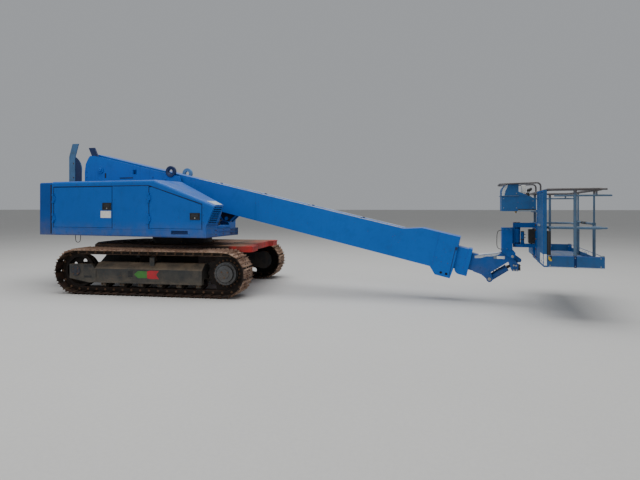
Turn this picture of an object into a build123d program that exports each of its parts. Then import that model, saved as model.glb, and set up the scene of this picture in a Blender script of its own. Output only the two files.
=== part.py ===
from build123d import *
import math
import os

# Tracked telescopic boom lift. Millimetres, +X forward to the platform, +Z up.
# Everything is drawn from the slewing axis at x = 0 and shifted once, when it is written.

# Fits between pieces
SEAT_GAP = 0.3
PIN_FIT = 0.08
SLIDE_FIT = 0.5
SWING_GAP = 8

# Crawler tracks
GAUGE = 2380
WHEEL_BASE = 2800
TRACKS_TURN = 8.5
TRACK_HEIGHT = 825
SHOE_WIDTH = 500
SHOE_PITCH = 171
SHOE_GAP = 7
SHOE_PLATE = 12
GROUSER = 28
GROUSER_BASE = 16
LINK_HEIGHT = 78
LINK_INNER = 35
LINK_OUTER = 80
AXLE_Z = TRACK_HEIGHT / 2
SHOE_FACE = AXLE_Z - GROUSER
LINK_FACE = SHOE_FACE - SHOE_PLATE
RAIL_RADIUS = LINK_FACE - LINK_HEIGHT
PITCH_RADIUS = LINK_FACE - LINK_HEIGHT / 2
SPROCKET_X = WHEEL_BASE / 2
IDLER_X = -WHEEL_BASE / 2

# Wheels inside the tracks
SPROCKET_TEETH = 12
TOOTH_DEPTH = 50
TOOTH_TIP = PITCH_RADIUS + 18
TOOTH_HALF_WIDTH = 26
DRUM_RADIUS = 190
DRUM_CAP_RADIUS = 150
DRUM_OUTER = 120
DRUM_CAP_OUTER = 150
IDLER_RIM = 46
IDLER_WEB = 22
IDLER_HUB_RADIUS = 95
IDLER_FLANGE = 20
IDLER_HOLES = 5
IDLER_HOLE_RADIUS = 45
IDLER_HOLE_CIRCLE = 170
IDLER_AXLE_RADIUS = 40
ROLLER_RADIUS = 85
ROLLER_CORE = 55
ROLLER_SHAFT = 28
ROLLER_FIRST_X = -880
ROLLER_LAST_X = 920
ROLLER_COUNT = 6
CARRIER_RADIUS = 65
CARRIER_X = 40

# Track frames
FRAME_HALF = 190
FRAME_LEG = 80
FRAME_BOTTOM_Z = 215
FRAME_FLOOR_Z = 300
FRAME_SHOULDER_Z = 466
FRAME_TOP_Z = 570
FRAME_RIDGE_HALF = 60
FRAME_WALL = 12
FRAME_REAR_X = -1030
FRAME_FRONT_X = 1005
YOKE_REAR_X = IDLER_X - 130
YOKE_TOP_Z = 540
BRACKET_LOW_Z = 160
BRACKET_HALF = 45
BRACKET_THICK = 40

# Carbody and slewing ring
DECK_TOP_Z = 860
DECK_THICK = 105
DECK_REAR_X = -1690
DECK_FRONT_X = 1750
DECK_SIDE_GAP = 20
DECK_HALF = GAUGE / 2 - SHOE_WIDTH / 2 - DECK_SIDE_GAP
DECK_CORNER = 50
DECK_REAR_CORNER = 350
DECK_REAR_HALF = 300
DECK_NOTCH_DEPTH = 85
DECK_NOTCH_HALF = 550
DECK_NOTCH_SLOPE = 40
CARBODY_HALF = 600
CARBODY_LOW_Z = 300
CARBODY_WALL = 20
ARM_INNER_X = 330
ARM_OUTER_X = 680
RING_RADIUS = 585
RING_BORE = 440
RING_SPIGOT = 515
RING_LOW_HEIGHT = 75
RING_LAP = 45

# Turntable
TURNTABLE_Z = 1030
FLOOR_THICK = 20
FLOOR_Z = TURNTABLE_Z + FLOOR_THICK
BODY_HALF = 1200
BODY_TOP_Z = 2060
COUNTERWEIGHT_TOP_Z = BODY_TOP_Z - 15
COUNTERWEIGHT_EDGE = 30
HOOD_REAR_X = -2140
COUNTERWEIGHT_SIDE_X = -2440
COUNTERWEIGHT_REAR_X = -2600
NEAR_FRONT_X = 1265
NEAR_NOSE_X = 1435
NEAR_NOSE_Y = -875
FLOOR_FRONT_Y = -20
NEAR_NOSE_Z = 1600
NEAR_SLOPE_X = 200
LOW_BOX_Z = 1230
FAR_FRONT_X = 560
FAR_NOSE_X = 600
FAR_NOSE_Z = 1750
FAR_SLOPE_X = -250
HOOD_WALL = 30
HOOD_INNER_Y = 340
HOOD_EDGE_RADIUS = 55
SLOT_REAR_X = 580
SLOT_LENGTH = 310
SLOT_LOW_Z = 1097
SLOT_HEIGHT = 45

# Intake in the slanted front of the right hood, as shares of the slant
GRILLE_LOW = 0.1
GRILLE_HIGH = 0.9
GRILLE_SLATS = 9
GRILLE_SLAT_HALF = 0.012
GRILLE_MARGIN = 5
GRILLE_RIB = 20

# Engine, as one plain mass
ENGINE_REAR_X = -1950
ENGINE_LENGTH = 1100
ENGINE_HEIGHT = 700
ENGINE_CLEARANCE = 90

# Hood doors
DOOR_GAP = 6
DOOR_LOW_Z = 1180
DOOR_HIGH_Z = 1950
DOOR_EDGE = 45
KNUCKLE_RADIUS = 11
KNUCKLE_OUT = 14
KNUCKLE_LENGTH = 90
KNUCKLE_LEAF = 36
DOOR_RELIEF = 60
DOOR_HINGE_HEIGHTS = (DOOR_LOW_Z + 130, DOOR_HIGH_Z - 260)

# Boom tower and lifting eyes
TOWER_HALF = 300
TOWER_PLATE = 30
TOWER_REAR_X = -2120
TOWER_BACK_X = -2215
TOWER_BACK_GAP = 15
TOWER_TOP_X = -1960
TOWER_TOP_Z = 2650
TOWER_FRONT_X = 120
TOWER_FOOT_X = 900
EYE_X = -80
EYE_RADIUS = 110
EYE_HOLE = 50
EYE_PLATE = 40
EYE_RISE = 55
TAB_FOOT_X = -1850
TAB_FOOT_DROP = 60
TAB_WIDTH = 145
TAB_LEAN = 115
TAB_RISE = 170
TOWER_HOLE_X = -940
TOWER_HOLE_Z = 2285
TOWER_HOLE = 90
TOWER_TIE_Z = 1900
BOSS_OUT = 15
PIN_END = 10

# Rear guard post
GUARD_REAR_X = -2590
GUARD_WIDTH = 160
GUARD_LEAN = 90
GUARD_LEAN_HEIGHT = 275
GUARD_TOP_Z = 2915
GUARD_BEND_Z = GUARD_TOP_Z - GUARD_LEAN_HEIGHT
GUARD_CHEEK = 165
GUARD_THICK = 20
GUARD_Y = 325

# Boom, drawn level with its lift pin at the origin, then dropped by its rest angle
PIVOT_X = -1800
PIVOT_Z = 2350
BOOM_DROP = 12.95
PIVOT_PIN_RADIUS = 45
PIVOT_BOSS_RADIUS = 80
BASE_REAR = -300
BASE_FRONT = 7350
BASE_LOW = -220
BASE_HIGH = 290
BASE_HALF = 200
BASE_WALL = 12
HUMP_START = 6410
HUMP_RISE_END = 6710
HUMP_HEIGHT = 85
FOOT_LENGTH = 250
FOOT_INSET = 15
FOOT_SLOPE = 110
FOOT_DROP = 115
FOOT_THICK = 30
FOOT_HOLE_RADIUS = 22
FOOT_HOLES = (85, 175)
MID_REAR = 350
MID_FRONT = 7585
MID_LOW = -160
MID_HIGH = 210
MID_HALF = 150
MID_WALL = 10
MID_FOOT_LENGTH = 215
MID_FOOT_DROP = 75
MID_FOOT_THICK = 25
MID_COLLAR = 12
MID_COLLAR_LENGTH = 60
TIP_REAR = 650
TIP_FRONT = 7790
TIP_LOW = -125
TIP_HIGH = 155
TIP_HALF = 110
TIP_WALL = 8
PAD_LENGTH = 250

# Lift cylinder
CYLINDER_END = 30
LIFT_FOOT_X = -1450
LIFT_FOOT_Z = 1250
LIFT_EYE_ALONG = 3000
LIFT_EYE_OFF = -340
LIFT_BARREL_RADIUS = 90
LIFT_BARREL_LENGTH = 2150
LIFT_ROD_RADIUS = 50
LIFT_PIN_RADIUS = 35
LIFT_EYE_RADIUS = 75
LIFT_EYE_HALF = 45
LIFT_EYE_GAP = 6
LIFT_NECK = 150
LUG_THICK = 30

# Nose of the boom, from the levelling pin
LEVEL_ALONG = 8199
LEVEL_OFF = 264
LEVEL_PIN_RADIUS = 22
NOSE_TIP_RADIUS = 50
NOSE_PLATE = 20
LEVEL_FOOT_DX = -350
LEVEL_FOOT_DZ = -385
LEVEL_EYE_DX = 110
LEVEL_EYE_DZ = -70
LEVEL_BARREL_RADIUS = 55
LEVEL_BARREL_LENGTH = 330
LEVEL_ROD_RADIUS = 22
LEVEL_EYE_RADIUS = 34
LEVEL_EYE_HALF = 24
LEVEL_FOOT_RADIUS = 50
LEVEL_FOOT_PIN = 18
LEVEL_NECK = -45
LEVEL_BORE = 80
LEVEL_STROKE = 170
VALVE_REAR_DX = -5
VALVE_FRONT_DX = 90
VALVE_LOW_DZ = -240
VALVE_HIGH_DZ = -130
VALVE_WIDTH = 28

# Levelled head and rotator, from the levelling pin
HEAD_REAR_DX = -160
HEAD_FRONT_DX = 0
HEAD_LOW_DZ = 62
HEAD_HIGH_DZ = 460
HEAD_HALF = 150
EAR_THICK = 25
ROTATOR_DX = 75
ROTATOR_RADIUS = 52
ROTATOR_LOW_DZ = 200
ROTATOR_HIGH_DZ = 465
ROTATOR_SHAFT = 30
ROTATOR_WEB = 90
ARM_PLATE = 30
ARM_PLATE_HALF = 260
GUSSET_DEPTH = 30
GUSSET_HALF = 50
MOTOR_DX = 85
MOTOR_RADIUS = 26
MOTOR_FLANGE = 60
MOTOR_HEIGHT = 190
JUNCTION_DEPTH = 90
JUNCTION_HALF = 75
JUNCTION_LOW_Z = 985
JUNCTION_HIGH_Z = 1205

# Platform
PLATFORM_REAR_DX = 370
PLATFORM_DEPTH = 705
PLATFORM_HALF = 1200
PLATFORM_LOW_Z = 735
PLATFORM_FLOOR = 40
FLOOR_BEAM = 30
FLOOR_BAYS = 4
DECK_SHEET = 6
TOE_HEIGHT = 120
TOE_THICK = 4
LIP_HEIGHT = 65
RAIL_HEIGHT = 1030
SECOND_RAIL_HEIGHT = 945
RAIL_STUB = 60
THIN_STUB = 115
MID_RAIL_HEIGHT = 505
RAIL_TUBE = 19
POST_TUBE = 20.5
THIN_TUBE = 13
RAIL_BEND = 70
REAR_POST_Y = 450
PANEL_TOP_Z = 1800
PANEL_SHEET = 4
PANEL_BEAM = 60
PANEL_END_Y = -420
PANEL_THICK = 40
BOX_HALF = 290
BOX_LOW_Z = 1520
BOX_SEAM_Z = 1740
BOX_HIGH_Z = 1930
BOX_DESK_Z = 1693
BOX_DESK_RISE = 117
BOX_DESK_DEPTH = 250
BOX_ROUND = 110
BOX_LEDGE = 12
BOX_DEPTH = 500
BOX_WALL = 8
SHELF_THICK = 20
HOOP_HALF = 310
HOOP_REAR_X = 6050
HOOP_RISE = 140
HOOP_SAG = 15
HOOP_BEND = 55
GATE_NEAR_Y = -700
GATE_FAR_Y = 430
GATE_TUBE = 17
GATE_COLLAR = 23
GATE_COLLAR_HALF = 20
GATE_TRAVEL_END = 6

# Worked out from the sizes above
SINE = math.sin(math.radians(BOOM_DROP))
COSINE = math.cos(math.radians(BOOM_DROP))


def boom_point(along, off):
    """Place on the machine of a point of the boom, at rest."""
    return (PIVOT_X + along * COSINE + off * SINE, PIVOT_Z - along * SINE + off * COSINE)


LEVEL_X, LEVEL_Z = boom_point(LEVEL_ALONG, LEVEL_OFF)
LIFT_EYE_X, LIFT_EYE_Z = boom_point(LIFT_EYE_ALONG, LIFT_EYE_OFF)
ROTATOR_X = LEVEL_X + ROTATOR_DX
PLATFORM_REAR_X = LEVEL_X + PLATFORM_REAR_DX
PLATFORM_FRONT_X = PLATFORM_REAR_X + PLATFORM_DEPTH
DECK_Z = PLATFORM_LOW_Z + PLATFORM_FLOOR
RAIL_INSET = TOE_THICK + SEAT_GAP + POST_TUBE
RAIL_REAR_X = PLATFORM_REAR_X + RAIL_INSET
RAIL_FRONT_X = PLATFORM_FRONT_X - RAIL_INSET
RAIL_MID_X = (RAIL_REAR_X + RAIL_FRONT_X) / 2
RAIL_HALF = PLATFORM_HALF - RAIL_INSET
GATE_SEAT_Z = DECK_Z + MID_RAIL_HEIGHT + POST_TUBE
GATE_Z = GATE_SEAT_Z + SEAT_GAP + GATE_COLLAR_HALF
GATE_RISE = DECK_Z + RAIL_HEIGHT - RAIL_TUBE - GATE_TRAVEL_END - GATE_COLLAR_HALF - GATE_Z
SLEW_X = -(RAIL_FRONT_X + THIN_STUB + COUNTERWEIGHT_REAR_X) / 2


def outline(*points):
    """Closed face through straight edges."""
    return make_face(Polyline(*points, close=True))


def across(face, y_low, y_high):
    """Solid from an (x, z) outline, between two y planes."""
    return extrude(Plane.XZ.offset(-y_high) * face, amount=y_high - y_low)


def along(face, x_low, x_high):
    """Solid from a (y, z) outline, between two x planes."""
    return extrude(Plane.YZ.offset(x_low) * face, amount=x_high - x_low)


def upright(face, z_low, z_high):
    """Solid from an (x, y) outline, between two heights."""
    return extrude(Plane.XY.offset(z_low) * face, amount=z_high - z_low)


def block(x_low, x_high, y_low, y_high, z_low, z_high):
    """Box between two corners."""
    middle = Pos((x_low + x_high) / 2, (y_low + y_high) / 2, (z_low + z_high) / 2)
    return middle * Box(x_high - x_low, y_high - y_low, z_high - z_low)


def cross_pin(x, z, y_low, y_high, radius):
    """Round bar across the machine."""
    return across(Pos(x, z) * Circle(radius), y_low, y_high)


def bar(start, end, radius):
    """Round bar between two points."""
    axis = Vector(*end) - Vector(*start)
    return extrude(Plane(origin=start, z_dir=axis) * Circle(radius), amount=axis.length)


def both_sides(solid):
    """The solid and its mirror image over the middle of the machine."""
    return solid + mirror(solid, about=Plane.XZ)


def in_track(face, t_low, t_high):
    """Solid in the right track, from t planes counted outward from its middle."""
    return across(face, -GAUGE / 2 - t_high, -GAUGE / 2 - t_low)


def on_boom(solid):
    """Turn a solid drawn level about the lift pin to the boom's rest angle."""
    return Pos(PIVOT_X, 0, PIVOT_Z) * Rot(0, BOOM_DROP, 0) * solid


def pitch_point(distance):
    """Point of the chain's pitch line, from the rear end of the lower run."""
    bend = math.pi * PITCH_RADIUS
    distance = distance % (2 * WHEEL_BASE + 2 * bend)
    if distance < WHEEL_BASE:
        return (IDLER_X + distance, AXLE_Z - PITCH_RADIUS)
    if distance < WHEEL_BASE + bend:
        turn = (distance - WHEEL_BASE) / PITCH_RADIUS - math.pi / 2
        centre = SPROCKET_X
    elif distance < 2 * WHEEL_BASE + bend:
        return (SPROCKET_X - (distance - WHEEL_BASE - bend), AXLE_Z + PITCH_RADIUS)
    else:
        turn = (distance - 2 * WHEEL_BASE - bend) / PITCH_RADIUS + math.pi / 2
        centre = IDLER_X
    return (centre + PITCH_RADIUS * math.cos(turn), AXLE_Z + PITCH_RADIUS * math.sin(turn))


def shoe_outline(pitch):
    """One shoe with three grousers, its outer face down."""
    half = (pitch - SHOE_GAP) / 2
    under = -LINK_HEIGHT / 2
    face = under - SHOE_PLATE
    tip = face - GROUSER
    points = [(-half, under), (-half, face)]
    for middle in (-half + GROUSER_BASE / 2, 0, half - GROUSER_BASE / 2):
        if middle > -half + GROUSER_BASE:
            points.append((middle - GROUSER_BASE / 2, face))
        points.append((middle, tip))
        points.append((middle + GROUSER_BASE / 2, face))
    points.append((half, under))
    return outline(*points)


def track():
    """Chain rails and shoes of the right track."""
    run = 2 * WHEEL_BASE + 2 * math.pi * PITCH_RADIUS
    count = round(run / SHOE_PITCH)
    pitch = run / count
    shoes = []
    for number in range(count):
        start = pitch_point(number * pitch)
        end = pitch_point((number + 1) * pitch)
        turn = math.degrees(math.atan2(end[1] - start[1], end[0] - start[0]))
        place = Pos((start[0] + end[0]) / 2, (start[1] + end[1]) / 2) * Rot(0, 0, turn)
        shoes.append(in_track(place * shoe_outline(pitch), -SHOE_WIDTH / 2, SHOE_WIDTH / 2))
    ring = SlotCenterToCenter(WHEEL_BASE, 2 * LINK_FACE) - SlotCenterToCenter(WHEEL_BASE, 2 * RAIL_RADIUS)
    ring = Pos(0, AXLE_Z) * ring
    rails = in_track(ring, LINK_INNER, LINK_OUTER) + in_track(ring, -LINK_OUTER, -LINK_INNER)
    return rails + shoes


def sprocket():
    """Toothed drive wheel with its gear drum and cap."""
    points = []
    step = 360 / SPROCKET_TEETH
    for tooth in range(SPROCKET_TEETH):
        for radius, share in (
            (TOOTH_TIP - TOOTH_DEPTH, -0.34),
            (TOOTH_TIP, -0.14),
            (TOOTH_TIP, 0.14),
            (TOOTH_TIP - TOOTH_DEPTH, 0.34),
        ):
            turn = math.radians((tooth + share) * step)
            points.append((radius * math.cos(turn), radius * math.sin(turn)))
    at_hub = Pos(SPROCKET_X, AXLE_Z)
    wheel = in_track(at_hub * outline(*points), -TOOTH_HALF_WIDTH, TOOTH_HALF_WIDTH)
    drum_inner = -(FRAME_HALF - BRACKET_THICK - TOOTH_HALF_WIDTH)
    drum = in_track(at_hub * Circle(DRUM_RADIUS), drum_inner + SEAT_GAP, DRUM_OUTER)
    cap = in_track(at_hub * Circle(DRUM_CAP_RADIUS), DRUM_OUTER, DRUM_CAP_OUTER)
    return wheel + drum + cap


def idler():
    """Plain front wheel of the chain, on its axle."""
    tread = RAIL_RADIUS - SEAT_GAP
    at_hub = Pos(IDLER_X, AXLE_Z)
    rim = in_track(at_hub * (Circle(tread) - Circle(tread - IDLER_RIM)), -LINK_OUTER, LINK_OUTER)
    flange_half = LINK_INNER - SWING_GAP
    flange = Circle(tread + IDLER_FLANGE) - Circle(tread - IDLER_RIM)
    flange = in_track(at_hub * flange, -flange_half, flange_half)
    web = Circle(tread - IDLER_RIM + 1)
    for number in range(IDLER_HOLES):
        turn = 360 * number / IDLER_HOLES
        web -= Rot(0, 0, turn) * Pos(IDLER_HOLE_CIRCLE, 0) * Circle(IDLER_HOLE_RADIUS)
    web = in_track(at_hub * web, -IDLER_WEB / 2, IDLER_WEB / 2)
    hub = in_track(at_hub * Circle(IDLER_HUB_RADIUS), -LINK_OUTER, LINK_OUTER)
    axle = in_track(at_hub * Circle(IDLER_AXLE_RADIUS), -FRAME_HALF, FRAME_HALF)
    return rim + flange + web + hub + axle


def roller(x, z, radius):
    """Two treads on a core and a shaft."""
    at_shaft = Pos(x, z)
    tread = at_shaft * Circle(radius)
    body = in_track(tread, LINK_INNER - 5, LINK_OUTER + 5)
    body += in_track(tread, -LINK_OUTER - 5, -LINK_INNER + 5)
    body += in_track(at_shaft * Circle(min(ROLLER_CORE, radius - 10)), -LINK_OUTER, LINK_OUTER)
    shaft_end = FRAME_HALF - FRAME_LEG - SEAT_GAP
    return body + in_track(at_shaft * Circle(ROLLER_SHAFT), -shaft_end, shaft_end)


ROLLER_Z = AXLE_Z - RAIL_RADIUS + ROLLER_RADIUS + SEAT_GAP
CARRIER_Z = AXLE_Z + RAIL_RADIUS - CARRIER_RADIUS - SEAT_GAP
ROLLER_STEP = (ROLLER_LAST_X - ROLLER_FIRST_X) / (ROLLER_COUNT - 1)
ROLLER_PLACES = [ROLLER_FIRST_X + number * ROLLER_STEP for number in range(ROLLER_COUNT)]


def rollers():
    """Bottom rollers and the carrier roller, clear of each other."""
    loose = [roller(x, ROLLER_Z, ROLLER_RADIUS) for x in ROLLER_PLACES]
    return roller(CARRIER_X, CARRIER_Z, CARRIER_RADIUS) + loose


def track_frame():
    """Box beam of the right track with roller brackets, rear yoke and drive flange."""
    half = FRAME_HALF
    leg = FRAME_HALF - FRAME_LEG
    middle = Pos(-GAUGE / 2, 0)
    beam = outline(
        (-half, FRAME_BOTTOM_Z), (-leg, FRAME_BOTTOM_Z), (-leg, FRAME_FLOOR_Z), (leg, FRAME_FLOOR_Z),
        (leg, FRAME_BOTTOM_Z), (half, FRAME_BOTTOM_Z), (half, FRAME_SHOULDER_Z),
        (FRAME_RIDGE_HALF, FRAME_TOP_Z), (-FRAME_RIDGE_HALF, FRAME_TOP_Z), (-half, FRAME_SHOULDER_Z),
    )
    wall = FRAME_WALL
    hollow = outline(
        (-half + wall, FRAME_FLOOR_Z + wall), (half - wall, FRAME_FLOOR_Z + wall),
        (half - wall, FRAME_SHOULDER_Z - wall / 2), (FRAME_RIDGE_HALF - wall / 2, FRAME_TOP_Z - wall),
        (-FRAME_RIDGE_HALF + wall / 2, FRAME_TOP_Z - wall), (-half + wall, FRAME_SHOULDER_Z - wall / 2),
    )
    frame = along(middle * beam, FRAME_REAR_X, FRAME_FRONT_X)
    frame -= along(middle * hollow, FRAME_REAR_X + wall, FRAME_FRONT_X - wall)
    for x in ROLLER_PLACES:
        bracket = Pos(x, (BRACKET_LOW_Z + FRAME_BOTTOM_Z) / 2) * Rectangle(
            2 * BRACKET_HALF, FRAME_BOTTOM_Z - BRACKET_LOW_Z
        )
        frame += in_track(bracket, leg, leg + BRACKET_THICK)
        frame += in_track(bracket, -leg - BRACKET_THICK, -leg)
    post_foot = FRAME_SHOULDER_Z
    post = Pos(CARRIER_X, (post_foot + CARRIER_Z + ROLLER_SHAFT) / 2) * Rectangle(
        2 * BRACKET_HALF, CARRIER_Z + ROLLER_SHAFT - post_foot
    )
    frame += in_track(post, leg, leg + FRAME_WALL) + in_track(post, -leg - FRAME_WALL, -leg)
    yoke = outline(
        (YOKE_REAR_X, FRAME_BOTTOM_Z + 70), (FRAME_REAR_X - 120, FRAME_BOTTOM_Z),
        (FRAME_REAR_X, FRAME_BOTTOM_Z), (FRAME_REAR_X, FRAME_SHOULDER_Z),
        (FRAME_REAR_X - 60, YOKE_TOP_Z), (YOKE_REAR_X, YOKE_TOP_Z),
    )
    yoke -= Pos(IDLER_X, AXLE_Z) * Circle(IDLER_AXLE_RADIUS + SEAT_GAP)
    frame += in_track(yoke, leg, half) + in_track(yoke, -half, -leg)
    flange = Pos((FRAME_FRONT_X + SPROCKET_X) / 2 - 40, AXLE_Z) * Rectangle(
        SPROCKET_X - FRAME_FRONT_X + 80, 2 * DRUM_RADIUS - 60
    )
    flange += Pos(SPROCKET_X, AXLE_Z) * Circle(DRUM_RADIUS)
    frame += in_track(flange, -half, -(FRAME_HALF - BRACKET_THICK - TOOTH_HALF_WIDTH))
    return frame


def carbody():
    """Deck between the tracks, centre box and four arms to the track frames."""
    low = DECK_TOP_Z - DECK_THICK
    notch_x = DECK_FRONT_X - DECK_NOTCH_DEPTH
    notch_half = DECK_NOTCH_HALF - DECK_NOTCH_SLOPE
    plan = outline(
        (DECK_REAR_X + DECK_REAR_CORNER, -DECK_HALF), (DECK_FRONT_X - DECK_CORNER, -DECK_HALF),
        (DECK_FRONT_X, -DECK_HALF + DECK_CORNER), (DECK_FRONT_X, -DECK_NOTCH_HALF),
        (notch_x, -notch_half), (notch_x, notch_half), (DECK_FRONT_X, DECK_NOTCH_HALF),
        (DECK_FRONT_X, DECK_HALF - DECK_CORNER), (DECK_FRONT_X - DECK_CORNER, DECK_HALF),
        (DECK_REAR_X + DECK_REAR_CORNER, DECK_HALF), (DECK_REAR_X, DECK_REAR_HALF),
        (DECK_REAR_X, -DECK_REAR_HALF),
    )
    body = upright(plan, low, DECK_TOP_Z)
    half = CARBODY_HALF
    inner = half - CARBODY_WALL
    body += block(-half, half, -half, half, CARBODY_LOW_Z, low)
    body -= block(-inner, inner, -inner, inner, CARBODY_LOW_Z + CARBODY_WALL, low)
    frame_face = GAUGE / 2 - FRAME_HALF
    arm = block(ARM_INNER_X, ARM_OUTER_X, half - CARBODY_WALL, frame_face, CARBODY_LOW_Z, FRAME_SHOULDER_Z)
    arm += mirror(arm, about=Plane.YZ)
    return body + both_sides(arm)


def slew_ring_lower():
    """Fixed race with the spigot that the turning race laps."""
    race = upright(Circle(RING_RADIUS) - Circle(RING_BORE), DECK_TOP_Z, DECK_TOP_Z + RING_LOW_HEIGHT)
    spigot = Circle(RING_SPIGOT) - Circle(RING_BORE)
    return race + upright(spigot, DECK_TOP_Z, DECK_TOP_Z + RING_LOW_HEIGHT + RING_LAP)


def slew_ring_upper():
    """Turning race under the turntable."""
    face = Circle(RING_RADIUS) - Circle(RING_SPIGOT + SEAT_GAP)
    return upright(face, DECK_TOP_Z + RING_LOW_HEIGHT + SEAT_GAP, TURNTABLE_Z)


def turntable_floor():
    """Floor plate of the upper works with its front beam and the foot of the lift cylinder."""
    plan = outline(
        (COUNTERWEIGHT_SIDE_X, -BODY_HALF), (NEAR_FRONT_X, -BODY_HALF), (NEAR_FRONT_X, FLOOR_FRONT_Y),
        (TOWER_FOOT_X, FLOOR_FRONT_Y), (TOWER_FOOT_X, TOWER_HALF), (FAR_FRONT_X, TOWER_HALF),
        (FAR_FRONT_X, BODY_HALF), (COUNTERWEIGHT_SIDE_X, BODY_HALF),
    )
    floor = upright(plan, TURNTABLE_Z, FLOOR_Z)
    front = block(
        NEAR_FRONT_X - HOOD_WALL, NEAR_FRONT_X, -HOOD_INNER_Y, FLOOR_FRONT_Y, FLOOR_Z, LOW_BOX_Z - 60
    )
    foot = outline(
        (LIFT_FOOT_X - 120, FLOOR_Z - 1), (LIFT_FOOT_X + 120, FLOOR_Z - 1),
        (LIFT_FOOT_X + 60, LIFT_FOOT_Z + 60), (LIFT_FOOT_X - 60, LIFT_FOOT_Z + 60),
    )
    lug_in = LIFT_EYE_HALF + LIFT_EYE_GAP
    lugs = both_sides(across(foot, -lug_in - LUG_THICK, -lug_in))
    pin = cross_pin(LIFT_FOOT_X, LIFT_FOOT_Z, -lug_in - 40, lug_in + 40, LIFT_PIN_RADIUS)
    return floor + front + lugs + pin


def counterweight():
    """Cast weight with a bowed rear face."""
    rear = ThreePointArc(
        (COUNTERWEIGHT_SIDE_X, -BODY_HALF), (COUNTERWEIGHT_REAR_X, 0), (COUNTERWEIGHT_SIDE_X, BODY_HALF)
    )
    front = Polyline(
        (COUNTERWEIGHT_SIDE_X, BODY_HALF), (HOOD_REAR_X - DOOR_GAP, BODY_HALF),
        (HOOD_REAR_X - DOOR_GAP, -BODY_HALF), (COUNTERWEIGHT_SIDE_X, -BODY_HALF),
    )
    weight = upright(make_face(rear + front), FLOOR_Z, COUNTERWEIGHT_TOP_Z)
    top_edges = weight.faces().sort_by(Axis.Z)[-1].edges()
    return fillet(top_edges, COUNTERWEIGHT_EDGE)


def hood_shell(profile, x_front_low):
    """Hollow hood over the right side, from its (x, z) outline."""
    inner_y = -HOOD_INNER_Y
    body = across(profile, -BODY_HALF, inner_y)
    outer_edges = body.faces().sort_by(Axis.Y)[0].edges()
    body = fillet([edge for edge in outer_edges if edge.center().Z > NEAR_NOSE_Z], HOOD_EDGE_RADIUS)
    cavity = offset(profile, -HOOD_WALL)
    body -= across(cavity, -BODY_HALF + HOOD_WALL, inner_y - HOOD_WALL)
    # The floor plate closes the hood from below
    body -= block(
        HOOD_REAR_X + HOOD_WALL, x_front_low - HOOD_WALL, -BODY_HALF + HOOD_WALL, inner_y - HOOD_WALL,
        FLOOR_Z - 1, FLOOR_Z + HOOD_WALL + 1,
    )
    return body


NEAR_PROFILE = (
    (HOOD_REAR_X, FLOOR_Z), (HOOD_REAR_X, BODY_TOP_Z), (NEAR_SLOPE_X, BODY_TOP_Z),
    (NEAR_NOSE_X, NEAR_NOSE_Z), (NEAR_FRONT_X, LOW_BOX_Z), (NEAR_FRONT_X, FLOOR_Z),
)
FAR_PROFILE = (
    (HOOD_REAR_X, FLOOR_Z), (HOOD_REAR_X, BODY_TOP_Z), (FAR_SLOPE_X, BODY_TOP_Z),
    (FAR_NOSE_X, FAR_NOSE_Z), (FAR_FRONT_X, LOW_BOX_Z), (FAR_FRONT_X, FLOOR_Z),
)

# Doors of the right side: rear edge, front edge, top height at each
RIGHT_DOORS = {
    "rear": (HOOD_REAR_X + DOOR_EDGE, -713, DOOR_HIGH_Z, DOOR_HIGH_Z),
    "front": (101, 1185, DOOR_HIGH_Z, 1610),
}
LEFT_DOORS = {
    "rear": (HOOD_REAR_X + DOOR_EDGE, -713, DOOR_HIGH_Z, DOOR_HIGH_Z),
    "front": (-600, 420, DOOR_HIGH_Z, 1700),
}


def door_outline(sizes, shrink):
    """Opening's (x, z) outline, smaller all round by shrink."""
    rear, front, rear_top, front_top = sizes
    return outline(
        (rear + shrink, DOOR_LOW_Z + shrink), (front - shrink, DOOR_LOW_Z + shrink),
        (front - shrink, front_top - shrink), (rear + shrink, rear_top - shrink),
    )


def knuckle(hinge_x, side, z_low, z_high):
    """Hinge knuckle outside the right skin, its leaf ahead (1) or behind (-1) of the pin."""
    pin_y = -BODY_HALF - KNUCKLE_OUT
    face = Pos(hinge_x, pin_y) * Circle(KNUCKLE_RADIUS)
    leaf_middle = hinge_x + side * (KNUCKLE_LEAF / 2 + DOOR_GAP / 2)
    face += Pos(leaf_middle, pin_y + KNUCKLE_OUT / 2) * Rectangle(KNUCKLE_LEAF, KNUCKLE_OUT)
    return upright(face, z_low, z_high)


def door(sizes):
    """Right-hand door with its hinge knuckles on the rear edge."""
    rear, front, rear_top, front_top = sizes
    leaf = across(door_outline(sizes, DOOR_GAP), -BODY_HALF, -BODY_HALF + HOOD_WALL)
    # The corner over the hinge stays under the sloping edge of the opening as the door swings
    drop = DOOR_GAP + DOOR_RELIEF * (rear_top - front_top) / (front - rear)
    leaf -= block(
        rear, rear + DOOR_RELIEF, -BODY_HALF - 1, -BODY_HALF + HOOD_WALL + 1, rear_top - drop, rear_top,
    )
    for height in DOOR_HINGE_HEIGHTS:
        leaf += knuckle(sizes[0], 1, height, height + KNUCKLE_LENGTH)
    return leaf


def hood(profile, doors, front_x):
    """Right-side hood with its door openings."""
    shell = hood_shell(outline(*profile), front_x)
    for sizes in doors.values():
        shell -= across(door_outline(sizes, 0), -BODY_HALF - 1, -BODY_HALF + HOOD_WALL + 1)
        for height in DOOR_HINGE_HEIGHTS:
            below = height - SEAT_GAP
            above = height + KNUCKLE_LENGTH + SEAT_GAP
            shell += knuckle(sizes[0], -1, below - KNUCKLE_LENGTH / 2, below)
            shell += knuckle(sizes[0], -1, above, above + KNUCKLE_LENGTH / 2)
    return shell


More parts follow.
